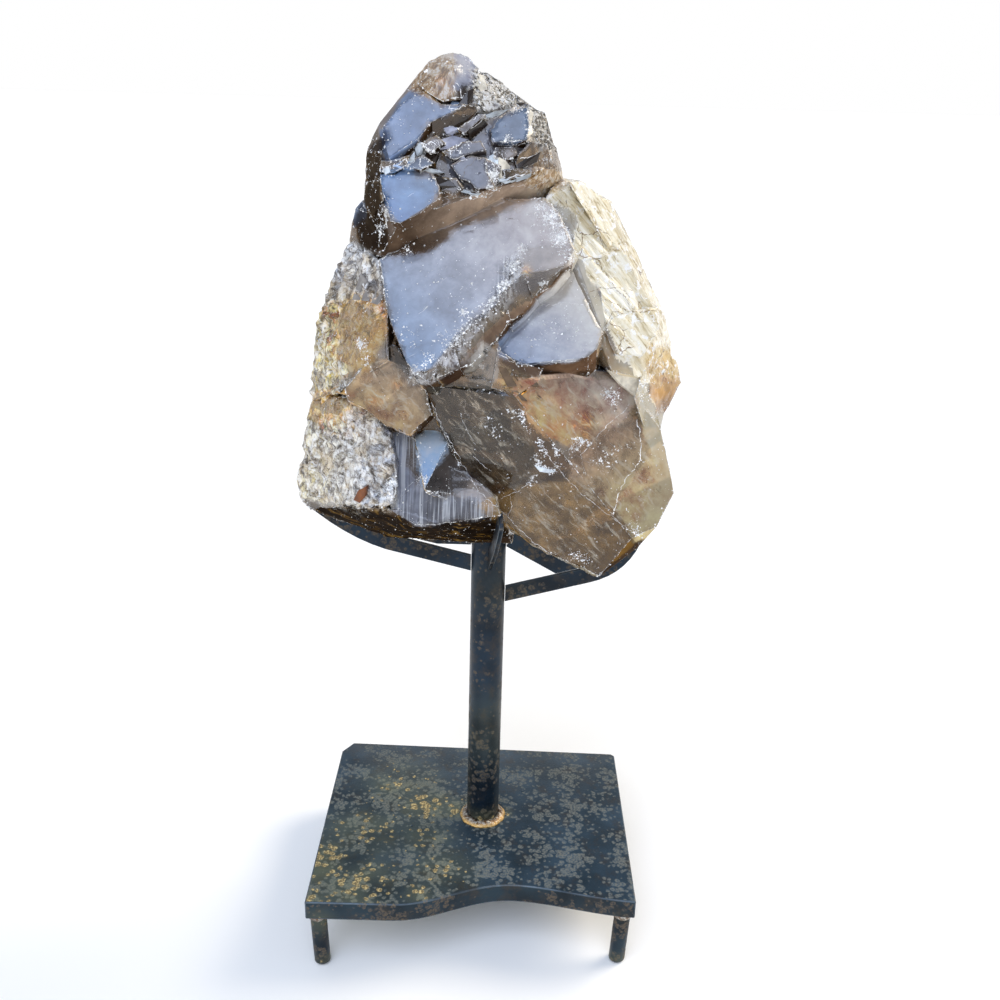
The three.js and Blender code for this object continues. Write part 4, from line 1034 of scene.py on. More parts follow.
# Where chips lie in crowds: from one mark to another, how far they stray (mm), and how many.
CHIP_CROWDS = [
    ((34, 319), (48, 313), 1.2, 150), ((35, 338), (42, 326), 1.4, 110), ((21, 361), (25, 347), 1.2, 90),
    ((60, 340), (74, 336), 1.6, 130), ((88, 377), (90, 367), 2.4, 130), ((47, 333), (50, 325), 1.0, 60),
    ((106, 384), (114, 370), 2.2, 120), ((-77, 303), (-74, 287), 1.6, 110), ((-55, 303), (-47, 306), 1.4, 60),
    ((82, 320), (92, 330), 4.0, 90), ((-64, 471), (-60, 478), 3.0, 50), ((5, 576), (11, 571), 2.6, 110),
    ((64, 246), (78, 242), 2.6, 90), ((18, 355), (12, 362), 2.0, 40), ((-3, 350), (6, 340), 4.0, 60),
    ((28, 302), (33, 309), 1.6, 50), ((112, 268), (116, 264), 2.0, 60), ((-28, 414), (-24, 410), 3.0, 90),
    ((36, 500), (46, 486), 4.5, 220), ((46, 486), (52, 470), 3.5, 120), ((18, 476), (2, 446), 2.6, 220),
    ((-2, 441), (-36, 404), 3.0, 150), ((-44, 398), (-60, 384), 2.4, 110),
    ((-97, 411), (-93, 402), 2.2, 70), ((-55, 540), (-42, 545), 4.0, 150), ((-48, 528), (-36, 526), 3.0, 80),
    ((-2, 540), (0, 525), 3.0, 150), ((-20, 515), (-8, 513), 2.0, 80), ((-75, 528), (-62, 534), 3.0, 90),
    ((-35, 546), (-20, 549), 2.6, 60), ((6, 550), (14, 546), 2.0, 50), ((19, 568), (21, 554), 1.8, 70),
    ((-70, 424), (-52, 404), 6.0, 60), ((30, 425), (62, 418), 7.0, 70), ((-40, 470), (-10, 440), 12.0, 60),
    ((-2, 604), (12, 566), 3.0, 60), ((-46, 590), (-56, 572), 3.0, 60)]
crowd_dice = random.Random(8)
crowded = []
for (x0, z0), (x1, z1), stray_mm, count in CHIP_CROWDS:
    for _ in range(count):
        along = crowd_dice.random()
        place, normal = on_rock((x0 + (x1 - x0) * along + crowd_dice.gauss(0, stray_mm),
                                 z0 + (z1 - z0) * along + crowd_dice.gauss(0, stray_mm)))
        if place is not None:
            crowded.append((place, normal))

flakes = [splinters(crowded, mostly_small(0.3, 1.9), 0.7, 0.5, 9)]
for title, draw, count, sizes, seed in [("specks", speck_draw, 4600, mostly_small(0.24, 1.25), 1),
                                        ("edge chips", edge_draw, 5200, mostly_small(0.35, 1.5), 2),
                                        ("frost", frost_draw, 3600, mostly_small(0.30, 1.3), 3),
                                        ("flank", face_weight("flank"), 120, mostly_small(0.5, 1.6), 4)]:
    points, faces = splinters(scattered(draw, count, seed), sizes, 0.7, 0.55, seed)
    flakes.append((points, faces))
    print(title, len(faces), "triangles")


def joined(parts):
    """One list of points and faces from several."""
    points, faces = [], []
    for more_points, more_faces in parts:
        first = len(points)
        points += more_points
        faces += [tuple(first + i for i in face) for face in more_faces]
    return points, faces


quartz_flakes = piece("quartz_flakes", *joined(flakes), crushed_quartz)

# %% [markdown]
# ## Cracks
# A crack that reaches the skin shows as a thin crooked line, white where it is open and filled with
# crushed quartz, brown where dirt has washed in. Each is a thin closed strip laid along marks on the
# sheet. A ray from the station through each mark finds where it lies on the rock.

# %% Lay the cracks
WHITE_CRACKS = {
    "lobe_crack": ([(107, 356), (111, 340), (112, 325), (107, 317), (102, 308), (97, 294), (94, 280)], 1.1),
    "lobe_line": ([(108, 375), (96, 362), (81, 346), (67, 327)], 0.5),
    "ridge_upper": ([(34, 340), (40, 330), (46, 322), (50, 318)], 0.6),
    "ridge_lower": ([(52, 316), (60, 306), (72, 294), (90, 281), (104, 270), (114, 262)], 0.5),
    "left_edge": ([(-50, 376), (-44, 363), (-38, 348), (-29, 332), (-19, 313), (-8, 295), (8, 281),
                   (32, 257), (60, 236)], 0.6),
    "left_line": ([(-24, 357), (-18, 344), (-12, 333)], 0.5),
    "left_line_low": ([(-14, 325), (-6, 318), (0, 312)], 0.4),
    "star_crack": ([(6, 288), (14, 294), (22, 298), (30, 304), (32, 310)], 0.5),
    "star_arm": ([(14, 294), (17, 285), (14, 276)], 0.5),
    "cheek_line": ([(62, 340), (66, 330), (69, 320), (72, 312)], 0.3),
    "riser_line": ([(2, 540), (5, 527), (2, 518), (-8, 513), (-18, 512)], 0.6),
    "blue_rim": ([(20, 572), (23, 560), (21, 550), (15, 547), (4, 546), (-3, 548), (-8, 556)], 0.7),
    "riser_top": ([(8, 519), (18, 521), (24, 519), (32, 523)], 0.8),
    "great_crest": ([(-42, 510), (-30, 512), (-16, 511), (-6, 513)], 0.5),
    "second_foot": ([(4, 403), (12, 398), (22, 395), (40, 397), (60, 399)], 0.5),
    "face_line": ([(32, 438), (50, 441), (70, 439)], 0.4),
    "kite_riser_line": ([(-48, 372), (-42, 358), (-36, 346), (-33, 338)], 0.6),
}
BROWN_CRACKS = {
    "pale_long": ([(78, 444), (88, 440), (96, 436), (106, 436), (118, 438)], 0.9),
    "pale_bend": ([(80, 437), (79, 425), (84, 436), (95, 434)], 0.8),
    "pale_upper": ([(61, 509), (66, 500), (72, 489), (76, 478), (78, 470)], 0.7),
    "pale_cross": ([(64, 447), (76, 452), (88, 452), (96, 446)], 0.6),
    "pale_left": ([(47, 512), (52, 498), (58, 485), (62, 472)], 0.7),
    "pale_drop": ([(70, 470), (78, 462), (84, 454), (92, 446), (98, 437)], 0.7),
    "lobe_dark": ([(-31, 356), (-22, 354), (-12, 350), (-4, 344), (0, 336)], 0.5),
    "lobe_dark_low": ([(-8, 332), (2, 324), (10, 316)], 0.4),
    "great_corner": ([(-25, 520), (-22, 530), (-16, 536), (-8, 540)], 0.6),
}


CRACK_GAPS = 0.09         # the chance that a crack breaks off at a step
CRACK_STEP_MM = 1.1
CRACK_JUMP_MM = 5         # a crack doesn't leap to a face that lies further off than this


def strip_along(line, width_mm, seed):
    """A thin crooked strip with gaps over the rock, along marks on the sheet, as points and faces."""
    dice = random.Random(seed)
    steps = []
    for (x0, z0), (x1, z1) in zip(line, line[1:]):
        count = max(2, round(math.hypot(x1 - x0, z1 - z0) / CRACK_STEP_MM))
        steps += [(x0 + (x1 - x0) * i / count, z0 + (z1 - z0) * i / count) for i in range(count)]
    steps.append(line[-1])
    strips, rings = [], []
    for i, mark in enumerate(steps):
        ahead_mark = steps[min(i + 1, len(steps) - 1)]
        behind_mark = steps[max(i - 1, 0)]
        run = Vector((ahead_mark[0] - behind_mark[0], ahead_mark[1] - behind_mark[1])).normalized()
        drift = 1.4 * noise.noise(Vector((mark[0], mark[1], seed * 9)) / 5)
        side = Vector((-run.y, run.x)) * (drift + dice.uniform(-0.4, 0.4))
        place, normal = on_rock((mark[0] + side.x, mark[1] + side.y))
        gap = place is None or (rings and (place - rings[-1][0]).length > CRACK_JUMP_MM * MM)
        if gap or dice.random() < CRACK_GAPS:
            strips += [skin_of(rings)] if len(rings) > 2 else []
            rings = []
        if not gap:
            across = normal.cross(Vector((run.x, 0, run.y))).normalized()
            half = across * (width_mm * MM * 0.5 * dice.uniform(0.2, 1.2))
            rings.append([place + half - normal * 0.1 * MM, place + normal * 0.12 * MM,
                          place - half - normal * 0.1 * MM, place - normal * 0.35 * MM])
    return joined(strips + ([skin_of(rings)] if len(rings) > 2 else []))


dirt_seam = plain_finish("brown_silt", "#75603f", 0.7)
for name, cracks, finish in [("white_cracks", WHITE_CRACKS, crushed_quartz),
                             ("brown_cracks", BROWN_CRACKS, dirt_seam)]:
    strips = [strip_along(line, width, seed) for seed, (line, width) in enumerate(cracks.values())]
    made = piece(name, *joined(strips), finish)
    print(name, len(made.data.polygons), "faces")

# %% [markdown]
# ## What is sealed inside
# Smoky quartz is seldom empty. Healed cracks leave veils: sheets of tiny bubbles that bend through
# the body and look like wisps of smoke or snow. Open cracks that never reached the skin mirror the
# light, and where they are thin they glow gold and orange. The veils are thousands of tiny flakes on
# bent sheets a few millimetres under the skin, and the open cracks are thin closed wavy plates.

# %% Veils
VEILS = [   # across, height, depth under the skin (mm), radius (mm), flakes, lean of the sheet
    (70, 262, 9, 24, 900, (0.3, -0.8, 0.5)), (40, 284, 7, 20, 700, (-0.5, -0.7, 0.4)),
    (98, 300, 10, 22, 800, (0.5, -0.7, -0.2)), (84, 330, 6, 16, 500, (0.2, -0.9, 0.4)),
    (60, 300, 14, 24, 800, (0.8, -0.5, 0.3)), (112, 326, 9, 16, 450, (-0.3, -0.8, 0.5)),
    (70, 366, 7, 20, 700, (0.1, -0.9, 0.5)), (46, 358, 9, 16, 500, (-0.6, -0.6, 0.5)),
    (-10, 350, 8, 18, 500, (0.2, -0.9, 0.3)), (8, 326, 9, 20, 600, (-0.4, -0.8, 0.3)),
    (-12, 310, 6, 12, 300, (0.4, -0.8, 0.2)), (-80, 372, 6, 18, 600, (0.2, -0.8, 0.6)),
    (-40, 590, 6, 12, 450, (-0.3, -0.8, 0.3)), (34, 526, 5, 10, 260, (0.3, -0.8, 0.4)),
    (-30, 490, 8, 16, 260, (0.1, -0.9, -0.3)), (40, 396, 6, 12, 220, (0.1, -0.9, -0.2)),
    (30, 470, 6, 14, 300, (0.3, -0.7, 0.5)), (-30, 276, 6, 16, 260, (0.0, -0.8, -0.5)),
]


def under_skin(mark, depth_mm):
    """A place some way under the skin along the line of sight through a mark, and the skin's normal."""
    place, normal = on_rock(mark)
    return place + (place - STATION).normalized() * depth_mm * MM, normal


def veil(across, height, depth_mm, radius_mm, count, lean, seed):
    """Flakes on a bent sheet with ragged gaps, kept inside the rock."""
    dice = random.Random(seed)
    middle, _ = under_skin((across, height), depth_mm)
    normal = Vector(lean).normalized()
    along = normal.orthogonal().normalized()
    beside = normal.cross(along)
    places = []
    while len(places) < count:
        count -= 0.15
        angle = dice.uniform(0, 2 * math.pi)
        reach = radius_mm * MM * math.sqrt(dice.random())
        place = middle + along * reach * math.cos(angle) + beside * reach * math.sin(angle)
        place += normal * 5 * MM * noise.noise(place * pattern_scale(18))
        gap = noise.noise(place * pattern_scale(9)) + 0.5 * noise.noise(place * pattern_scale(3.5))
        skin, skin_normal, _, _ = rock_tree.find_nearest(place)
        if gap > -0.05 and (place - skin).dot(skin_normal) < -0.8 * MM:
            tipped = normal + Vector((dice.gauss(0, 0.3), dice.gauss(0, 0.3), dice.gauss(0, 0.3)))
            places.append((place, tipped.normalized()))
    return places


veil_places = [spot for seed, values in enumerate(VEILS) for spot in veil(*values, seed)]
veil_finish = plain_finish("healed_crack_bubbles", "#efe9dc", 0.4, transmission=0.3)
veils = piece("inner_veils", *splinters(veil_places, mostly_small(0.14, 0.75), 0.5, 0.25, 20), veil_finish)
print("veils:", len(veil_places), "flakes")

# %% [markdown]
# ## Open cracks inside
# A crack that is open but sealed off from the skin is a film of air. It mirrors like metal, so a thin
# closed plate with a gold metallic finish is enough. Each is turned halfway between the station and
# the sky, which is how those that glint are turned.

# %% Open cracks inside
def wavy_plate(middle, normal, radius_mm, seed):
    """A thin closed plate with a ragged round outline that waves a little."""
    dice = random.Random(seed)
    along = normal.orthogonal().normalized()
    beside = normal.cross(along)
    count = 22
    outline = [dice.uniform(0.65, 1.15) * (1 + 0.35 * math.cos(2 * math.pi * i / count + seed))
               for i in range(count)]
    rings = []
    for share, lift in [(0.02, 0.1), (0.5, 0.1), (0.85, 0.07), (1.0, 0.0), (0.85, -0.07), (0.5, -0.1),
                        (0.02, -0.1)]:
        ring = []
        for i in range(count):
            angle = 2 * math.pi * i / count
            reach = radius_mm * MM * share * outline[i]
            place = middle + along * reach * math.cos(angle) + beside * reach * math.sin(angle)
            wave = 0.9 * noise.noise(place * pattern_scale(4))
            ring.append(place + normal * (lift + wave) * MM)
        rings.append(ring)
    return skin_of(rings)


GLINTS = [  # across, height, depth (mm), radius (mm)
    (52, 353, 3, 4.2), (60, 349, 4, 3.2), (70, 352, 3, 5.0), (68, 344, 4, 3.4), (44, 350, 5, 4.0),
    (36, 362, 5, 3.4), (56, 362, 6, 4.4), (-86, 366, 3, 3.4), (-70, 378, 4, 4.6), (-64, 356, 4, 4.0),
    (-40, 586, 3, 5.0), (12, 384, 3, 2.6), (22, 376, 3, 2.8), (21, 464, 1.5, 2.2),
]
SKY_TOWARDS = Vector((-0.13, -0.57, 0.81))
gold_crack = plain_finish("thin_open_crack", "#f0a94e", 0.18, metallic=0.9)
plates = []
for seed, (across, height, depth_mm, radius_mm) in enumerate(GLINTS):
    middle, _ = under_skin((across, height), depth_mm)
    halfway = ((STATION - middle).normalized() + SKY_TOWARDS.normalized()).normalized()
    plates.append(wavy_plate(middle, halfway, radius_mm, seed))
glints = piece("inner_cracks", *joined(plates), gold_crack, smooth=True)
print("open cracks:", len(plates))
bm.free()


# %% [markdown]
# ## Shards
# Where crystals have broken away in steps, thin plates of quartz are left, each with its own sheen:
# some mirror the sky, which is painted in as sky blue and lilac, a painted reflection; some are
# frosted white; some are so steep that only dark smoke shows, painted dark brown as painted shade.
# Each is a thin closed plate whose corners are marks on the sheet, laid on the rock and sunk into it.

# %% Lay the shards
# Painted light: sky and lilac are a painted sky reflection, smoke is painted shade.
SHARD_COLOURS = {"ice": "#e3edf6", "sky": "#a3bce2", "lilac": "#b1b5c9", "cream": "#f2ead8",
                 "smoke": "#2b211a", "bark": "#6d5843", "rust": "#7d4419", "ash": "#8f8b88",
                 "amber": "#c9a063"}
SHARDS = {
    "ice": [
        [(-56.6, 542.7), (-53.0, 546.9), (-49.2, 546.5), (-51.7, 538.7), (-55.1, 537.3)],
        [(-48.6, 544.2), (-45.5, 547.5), (-42.4, 545.6), (-44.4, 540.4), (-47.3, 538.4)],
        [(-62.1, 534.7), (-55.7, 538.2), (-56.4, 534.9), (-61.3, 531.5)],
        [(-53.1, 528.8), (-45.1, 530.1), (-36.2, 527.7), (-42.9, 526.5), (-52.4, 527.0)],
        [(-7.4, 537.6), (-4.0, 539.6), (0.1, 536.5), (0.1, 526.2), (-3.6, 523.8), (-7.8, 528.5)],
        [(-27.1, 517.9), (-19.6, 515.3), (-11.5, 514.2), (-12.8, 512.9), (-25.0, 514.9)],
        [(0.4, 523.6), (5.8, 524.4), (12.5, 526.5), (12.6, 523.3), (4.5, 521.9)],
        [(12.5, 526.5), (23.3, 528.8), (22.7, 526.2), (12.6, 523.3)],
        [(-10.8, 564.0), (-3.5, 567.7), (5.3, 568.9), (0.7, 565.2), (-6.7, 563.2)],
        [(-77.5, 529.1), (-73.5, 530.6), (-72.7, 526.7), (-76.7, 525.0)],
        [(33, 318), (40, 316.5), (49, 314), (44, 312.5), (37, 313.5)]],
    "cream": [
        [(0.3, 538.5), (5.0, 536.7), (8.3, 531.6), (5.2, 523.1), (1.1, 524.9)],
        [(19.8, 568.1), (22.6, 566.6), (21.1, 559.1), (22.9, 554.0), (19.3, 551.0), (18.5, 557.7)],
        [(-14.9, 590.3), (-10.8, 589.2), (-8.6, 582.8), (-13.0, 571.0), (-16.5, 574.8)],
        [(85, 393), (97, 396), (109, 386), (112, 377), (103, 374), (91, 383)]],
    "sky": [
        [(-71.2, 530.9), (-62.1, 536.0), (-59.1, 533.3), (-66.0, 529.5)],
        [(-28.8, 554.4), (-20.6, 553.0), (-7.2, 565.8), (-12.9, 565.6)],
        [(-32.0, 571.8), (-22.5, 572.3), (-26.5, 568.7), (-33.9, 568.5)]],
    "lilac": [
        [(-37.0, 556.1), (-31.6, 557.6), (-26.2, 556.4), (-31.4, 551.1), (-35.5, 552.3)],
        [(-40.8, 548.3), (-31.4, 550.5), (-20.5, 548.8), (-31.2, 543.4), (-39.3, 542.5)],
        [(-33.9, 542.7), (-25.8, 541.6), (-20.2, 535.9), (-31.0, 534.3)]],
    "smoke": [
        [(-52.7, 536.3), (-47.4, 540.3), (-39.2, 537.3), (-41.7, 531.7), (-52.5, 531.1)],
        [(-27.9, 570.6), (-21.4, 579.6), (-17.1, 581.2), (-17.9, 574.7), (-21.1, 570.8)],
        [(-30.3, 585.4), (-26.9, 582.2), (-23.9, 573.3), (-27.9, 571.9)],
        [(-20.7, 554.6), (-10.1, 562.1), (-7.3, 559.5), (-19.2, 548.9)],
        [(9.6, 536.8), (20.3, 538.4), (28.3, 542.5), (26.5, 536.0), (15.1, 530.5)],
        [(11.3, 573.0), (17.4, 573.4), (14.0, 571.1)],
        [(-40.2, 523.8), (-32.0, 522.7), (-27.8, 518.3), (-35.9, 516.8), (-41.7, 519.6)]],
    "bark": [
        [(3, 394), (10, 392), (18, 379), (11, 378)], [(13, 391), (20, 389), (28, 379), (21, 378)],
        [(23, 388), (30, 386), (34, 379), (29, 379)], [(8, 376), (18, 376), (26, 368), (15, 369)]],
    "amber": [[(-114, 375), (-106, 378), (-101, 373), (-104, 368), (-113, 370)]],
    "ash": [
        [(-94, 458), (-89.5, 453), (-95.5, 439), (-101, 439)],
        [(-88.5, 452), (-84.5, 447.5), (-89, 438), (-94, 438.5)],
        [(-83.5, 446.5), (-79, 442), (-83, 436), (-87.5, 437)]],
    "rust": [[(-103, 287), (-99, 295), (-92, 299), (-93, 291), (-99, 284)]],
}


RIM_MM = 1.0
SHARD_MM = 0.5
RUST_SHARD_MM = 2.0       # it lies in deep crust, so it has to be thicker to show


def shard(outline, thick_mm):
    """A thin closed plate over marks on the sheet, sunk a little into the rock."""
    spots = [on_rock(mark) for mark in outline]
    if any(place is None for place, _ in spots):
        return [], []
    lean = sum((normal for _, normal in spots), Vector()).normalized()
    middle = sum((place for place, _ in spots), Vector()) / len(spots)
    flat = [place - lean * 0.6 * (place - middle).dot(lean) for place, _ in spots]
    return skin_of([[p - lean * 1.8 * MM for p in flat], [p + lean * thick_mm * MM for p in flat],
                    [p + (middle - p) * 0.07 + lean * (thick_mm + 0.25) * MM for p in flat]])


for title, outlines in SHARDS.items():
    shard_finish = plain_finish("quartz_shard_" + title, SHARD_COLOURS[title], 0.14, transmission=0.25,
                                size_mm=6)
    thick_mm = RUST_SHARD_MM if title == "rust" else SHARD_MM
    plates = [shard(outline, thick_mm) for outline in outlines]
    made = piece("shards_" + title, *joined(plates), shard_finish)
    print(made.name, len(plates), "plates")

rimmed = [outline for title in ("sky", "lilac", "smoke", "ice") for outline in SHARDS[title]]
rims = [strip_along(outline + outline[:1], RIM_MM, seed) for seed, outline in enumerate(rimmed)]
shard_rims = piece("shard_rims", *joined(rims), crushed_quartz)
print("rims of crushed quartz:", len(rims))

# %% [markdown]
# ## Steel
# Hot-rolled mild steel, blackened with a chemical that leaves a thin blue-black oxide. The oxide is
# uneven: it has cloudy blue places, round dull spots in crowds where it failed, brown stains, and gold
# rust where water sat. The stains are told as places on the stand, each with a reach and a strength,
# so that the rust lies where water really stood.

# %% Steel materials
def blackened_steel(name, dark, light, spot_colour, crowding, stains=()):
    """Blue-black steel with round spots. stains are (place in mm from the axis, reach in mm, strength)."""
    material, tree, shader, output, place = new_material(name)
    node = partial(add, tree)
    wander = node("TexNoise", {"Vector": place, "Scale": pattern_scale(6), "Detail": 5.0})
    bent = node("VectorMath", [wander.outputs["Color"], (5 * MM,) * 3, place], operation="MULTIPLY_ADD")
    cloud = node("TexNoise", {"Vector": place, "Scale": pattern_scale(38), "Detail": 6.0})
    crowd = node("TexNoise", {"Vector": place, "Scale": pattern_scale(22), "Detail": 4.0})
    grain = node("TexNoise", {"Vector": place, "Scale": pattern_scale(1.7), "Detail": 4.0})
    spots = node("TexVoronoi", {"Vector": bent, "Scale": pattern_scale(4.6)})
    brown = node("TexNoise", {"Vector": bent, "Scale": pattern_scale(14), "Detail": 5.0, "Roughness": 0.7})

    # A spot is as wide as its crowd allows, and its rim is uneven.
    width = node("MapRange", [crowd, 0.36, 0.62, crowding - 0.25, crowding + 0.30])
    spotted = node("MapRange", [node("Math", [width, spots], operation="SUBTRACT"), 0.0, 0.16])
    spot_share = node("Math", [spotted, node("MapRange", [grain, 0.40, 0.58, 0.10, 0.80])],
                      operation="MULTIPLY")
    body = node("ValToRGB", [cloud], stops=[(0.36, dark), (0.64, light)])
    colour = node("MixRGB", [node("MapRange", [brown, 0.50, 0.66, 0.0, 0.5]), body, linear("#3f372e")])
    colour = node("MixRGB", [spot_share, colour, linear(spot_colour)])

    stained = 0.0
    for where_mm, reach_mm, strength in stains:
        spot = tuple(AXIS + Vector(where_mm) * MM)
        away = node("VectorMath", [place, spot], operation="DISTANCE").outputs["Value"]
        near = node("MapRange", [away, 0.0, reach_mm * MM, strength, 0.0], interpolation_type="SMOOTHSTEP")
        stained = node("Math", [stained, near], operation="MAXIMUM")
    drops = node("TexVoronoi", {"Vector": bent, "Scale": pattern_scale(6.5)})
    dropped = node("MapRange", [node("Math", [node("Math", [stained, 0.62], operation="MULTIPLY"), drops],
                                     operation="SUBTRACT"), 0.0, 0.12])
    film = node("Math", [stained, node("MapRange", [cloud, 0.35, 0.6, 0.2, 0.75])], operation="MULTIPLY")
    colour = node("MixRGB", [film, colour, linear("#74775a")])
    gold = node("ValToRGB", [grain], stops=[(0.42, "#6c5e40"), (0.52, "#9b8656"), (0.64, "#dcc78c")])
    colour = node("MixRGB", [node("Math", [dropped, 0.8], operation="MULTIPLY"), colour, gold])
    dull = node("Math", [spotted, dropped], operation="MAXIMUM")
    height = node("Math", [dull, 0.5, grain], operation="MULTIPLY_ADD")
    fill(tree, shader, {
        "Base Color": colour, "Roughness": node("MapRange", [dull, 0.0, 1.0, 0.38, 0.7]),
        "Metallic": node("MapRange", [dull, 0.0, 1.0, 0.6, 0.15]),
        "Normal": node("Bump", {"Height": height, "Distance": 0.2 * MM, "Strength": 0.6})})
    return material


PLATE_STAINS = [((-74, 37, 0), 60, 0.66), ((-50, 10, 0), 40, 1.0), ((-97, -28, 0), 62, 0.72),
                ((-131, -64, 0), 50, 1.05), ((-95, -92, 0), 60, 0.82), ((-128, -109, 0), 26, 0.8),
                ((-32, -72, 0), 46, 0.62), ((-24, 6, 0), 26, 0.85), ((-47, -99, 0), 26, 0.7),
                ((18, 2, 0), 12, 0.9), ((0, 0, 0), 27, 0.7), ((-50, -30, 0), 44, 0.66)]
POST_STAINS = [((13, -8, 90), 60, 0.28), ((0, -8, 5), 16, 0.9), ((12, 0, 220), 40, 0.22)]
steel = blackened_steel("blackened_mild_steel", "#0d1822", "#1b2d3d", "#54493b", 0.33, POST_STAINS)
plate_steel = blackened_steel("blackened_plate_steel", "#243541", "#374c5d", "#696c66", 0.44, PLATE_STAINS)
leg_steel = blackened_steel("blackened_leg_steel", "#121d25", "#22343f", "#5c4f3f", 0.36,
                            [((-122, -104, -20), 22, 0.6), ((-122, -104, -64), 18, 0.8),
                             ((110, -94, -64), 16, 0.7), ((110, -94, -16), 12, 0.5)])
worn_steel = blackened_steel("worn_edge_steel", "#2f3b45", "#55626c", "#6d6250", 0.28)
print("steel finishes:", [f.name for f in (steel, plate_steel, leg_steel, worn_steel)])

# %% [markdown]
# ## The stand's real edges
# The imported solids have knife-sharp edges. Real bar and plate is sheared and then filed, which leaves
# a narrow rounded edge that rubs bright. So each solid is copied, its flat facets are joined again,
# and its sharp edges get a narrow bevel in worn steel. Each copy stands in for its solid.

# %% Round the edges of the steel
def softened(node_name, finish, bevel_mm):
    """A copy of a node's solid with narrow rounded edges that are rubbed bright."""
    solid = bmesh.new()
    solid.from_mesh(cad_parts[node_name].data)
    bmesh.ops.remove_doubles(solid, verts=solid.verts, dist=SAME_SPOT)
    bmesh.ops.dissolve_limit(solid, angle_limit=math.radians(1), verts=solid.verts, edges=solid.edges)
    sharp = [e for e in solid.edges if e.calc_face_angle(0) > math.radians(40)]
    made = bmesh.ops.bevel(solid, geom=sharp, offset=bevel_mm * MM, segments=2, profile=0.6,
                           affect="EDGES", clamp_overlap=True)
    for face in solid.faces:
        face.material_index = 0
        face.smooth = True
        if node_name == "base_plate" and abs(face.normal.z) < 0.5:
            face.material_index = 2
    for face in made["faces"]:
        face.material_index = 1
    bmesh.ops.triangulate(solid, faces=solid.faces)
    mesh = bpy.data.meshes.new(node_name + "_steel")
    solid.to_mesh(mesh)
    solid.free()
    mesh.set_sharp_from_angle(angle=math.radians(30))
    for each in (finish, worn_steel, leg_steel):
        mesh.materials.append(each)
    copy = placed(mesh.name, mesh)
    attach(copy, "root")
    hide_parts(node_name)
    return copy


STEEL_PIECES = {"base_plate": (plate_steel, 1.1), "post": (steel, 0.4)}
STEEL_PIECES.update({name: (leg_steel, 0.8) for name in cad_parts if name.startswith("leg")})
STEEL_PIECES.update({name: (steel, 0.45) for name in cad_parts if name[:3] in ("arm", "bra")})
for name, (finish, bevel_mm) in STEEL_PIECES.items():
    made = softened(name, finish, bevel_mm)
    print(made.name, len(made.data.polygons), "triangles")

# %% [markdown]
# ## Welds
# The post stands on the plate in one fat fillet weld, laid in one pass, so it has ripples like a row
# of fallen coins. Heat has left it straw-gold at its rim and brown close to the post. The legs have
# smaller, rougher fillets under the plate. Sparks of molten steel landed around the post and stuck.

# %% Weld metal
weld_metal, weld_tree, weld_shader, _, weld_place = new_material("straw_tempered_weld")
weld_node = partial(add, weld_tree)
weld_grain = weld_node("TexNoise", {"Vector": weld_place, "Scale": pattern_scale(2.4), "Detail": 6.0,
                                    "Roughness": 0.7})
weld_body = weld_node("ValToRGB", [weld_grain], stops=[
    (0.36, "#2a211a"), (0.46, "#6f4f2c"), (0.54, "#8d8880"), (0.66, "#cfc6b4")])
from_axis = weld_node("VectorMath", [weld_place, tuple(AXIS)], operation="DISTANCE").outputs["Value"]
rim_share = weld_node("MapRange", [from_axis, 16.6 * MM, 19.2 * MM, 0.0, 0.85])
rim_share = weld_node("Math", [rim_share, weld_node("MapRange", [from_axis, 22 * MM, 23 * MM, 1.0, 0.0])],
                      operation="MULTIPLY")
weld_colour = weld_node("MixRGB", [rim_share, weld_body, linear("#dcb36b")])
fill(weld_tree, weld_shader, {
    "Base Color": weld_colour, "Metallic": 0.6,
    "Roughness": weld_node("MapRange", [weld_grain, 0.3, 0.7, 0.25, 0.6]),
    "Normal": weld_node("Bump", {"Height": weld_grain, "Distance": 0.4 * MM, "Strength": 0.8})})
print("weld finish:", weld_metal.name)

# %% [markdown]
# ## The weld beads
# A bead is a ring of cross-sections laid round the bar, each a little higher or lower than the last.
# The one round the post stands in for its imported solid. Those on the legs hang under the plate.

# %% Lay the fillets
def fillet(centre, inner_mm, reach_mm, height_mm, seed, rise=1, count=96):
    """A rippled weld round an upright bar. rise is 1 on top of a surface and -1 under one."""
    rings = []
    for i in range(count):
        angle = 2 * math.pi * i / count
        out = Vector((math.cos(angle), math.sin(angle), 0))
        spot = out * 2.2 + Vector((seed, 0, 0))
        uneven = 0.88 + 0.16 * noise.noise(spot)
        ripple = 0.94 + 0.06 * abs(math.sin(angle * count / 7 + 2 * noise.noise(spot * 2)))
        reach = reach_mm * uneven * ripple
        height = height_mm * (0.8 + 0.2 * noise.noise(spot + Vector((5, 3, 1)))) * ripple
        section = [(-0.6, 0.0), (reach, 0.0), (reach * 0.96, height * 0.22), (reach * 0.68, height * 0.60),
                   (reach * 0.34, height * 0.88), (-0.3, height)]
        rings.append([centre + (out * (inner_mm + across) + Vector((0, 0, rise * up))) * MM
                      for across, up in section])
    return skin_of(rings, closed=True)


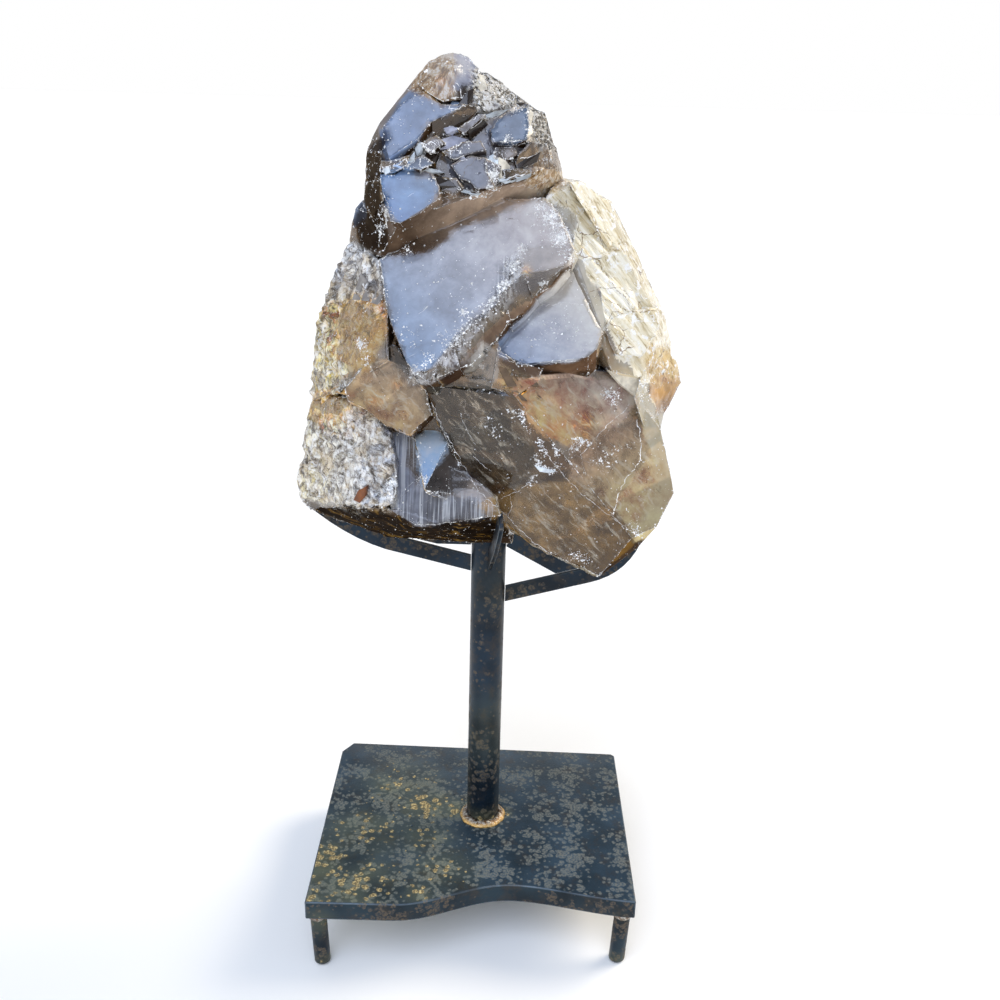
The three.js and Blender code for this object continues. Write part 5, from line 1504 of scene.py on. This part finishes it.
post_radius_mm = (post_high.x - post_low.x) / 2 / MM
foot_fillet = piece("foot_fillet", *fillet(AXIS, post_radius_mm, 6.6, 5.0, 3), weld_metal, smooth=True)
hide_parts("foot_weld")
leg_fillets = []
for seed, name in enumerate(n for n in STEEL_PIECES if n.startswith("leg")):
    ends = [v.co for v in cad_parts[name].data.vertices if v.co.z > 47 * MM]
    top = sum(ends, Vector()) / len(ends)
    top.z = plate_low.z
    leg_fillets.append(fillet(top, 6.0, 3.0, 5.5, 11 + seed, rise=-1, count=48))
leg_welds = piece("leg_fillets", *joined(leg_fillets), weld_metal, smooth=True)
print("fillets:", 1 + len(leg_fillets))

# %% [markdown]
# ## Spatter
# Drops of molten steel froze where they landed, most of them close to the post. Each is a small dome,
# sunk a little into the plate. One spot in front of the post is a tiny ring.

# %% Spatter
SPATTER_SEED = 31
SPATTER_DROPS = 46
dice = random.Random(SPATTER_SEED)
drops = []
for _ in range(SPATTER_DROPS):
    angle = dice.uniform(0, 2 * math.pi)
    reach = 20 + 46 * dice.random() ** 2
    size = dice.uniform(0.35, 0.95)
    middle = AXIS + Vector((reach * math.cos(angle), reach * math.sin(angle), 0)) * MM
    rings = [circle(middle, lambda _: share * size * MM, 8, lift * size * MM)
             for share, lift in [(0.9, -0.2), (1.0, 0.25), (0.75, 0.7), (0.25, 0.95)]]
    drops.append(skin_of(rings))
drops.append(fillet(AXIS + Vector((-0.2, -42.8, 0)) * MM, 1.1, 1.3, 0.9, 40, count=24))
spatter = piece("weld_spatter", *joined(drops), worn_steel, smooth=True)
print("spatter drops:", len(drops))

# %% [markdown]
# ## The room
# A pale floor that runs far back, a large cool light overhead behind the camera for the sky that the
# bright faces mirror, a warm light behind on the right that shines through the thin side, and a weak
# white one from the left. All three are suns, broad enough that their shadows are soft.

# %% Floor and lights
floor_mesh = bpy.data.meshes.new("floor")
floor_mesh.from_pydata([(-30, -30, 0), (30, -30, 0), (30, 30, 0), (-30, 30, 0)], [], [(0, 1, 2, 3)])
floor_finish, floor_tree, floor_shader, _, _ = new_material("pale_floor")
fill(floor_tree, floor_shader, {"Base Color": linear("#f7f7f5"), "Roughness": 0.8})
floor_mesh.materials.append(floor_finish)
floor = placed("floor", floor_mesh)

ROCK_MIDDLE = AXIS + Vector((0, 0, 430)) * MM


def soft_sun(name, direction, spread_deg, strength, colour):
    """A far light that fills a round patch of the sky, spread_deg across."""
    lamp = bpy.data.lights.new(name, "SUN")
    lamp.angle = math.radians(spread_deg)
    lamp.energy = strength
    lamp.color = linear(colour)[:3]
    lit = placed(name, lamp)
    towards = Vector(direction).normalized()
    lit.matrix_world = (Matrix.Translation(ROCK_MIDDLE + towards)
                        @ towards.to_track_quat("Z", "Y").to_matrix().to_4x4())


soft_sun("sky_light", (-0.13, -0.57, 0.81), 46, 1.9, "#d3def6")
soft_sun("sun_side", (0.75, 0.35, 0.7), 32, 2.1, "#fff0d8")
soft_sun("left_fill", (-1.0, -0.35, 0.4), 40, 0.5, "#ffffff")
world = bpy.data.worlds.new("soft_daylight")
bpy.context.scene.world = world
world.use_nodes = True
sky = world.node_tree
rise = add(sky, "SeparateXYZ", [add(sky, "TexCoord").outputs["Generated"]])
sky_colour = add(sky, "ValToRGB", [rise.outputs["Z"]], stops=[
    (0.12, "#ffffff"), (0.5, "#b4bac2"), (1.0, "#9aa2ad")])
fill(sky, sky.nodes["Background"], {"Color": sky_colour, "Strength": 1.0})
bpy.context.scene.view_settings.view_transform = "Standard"
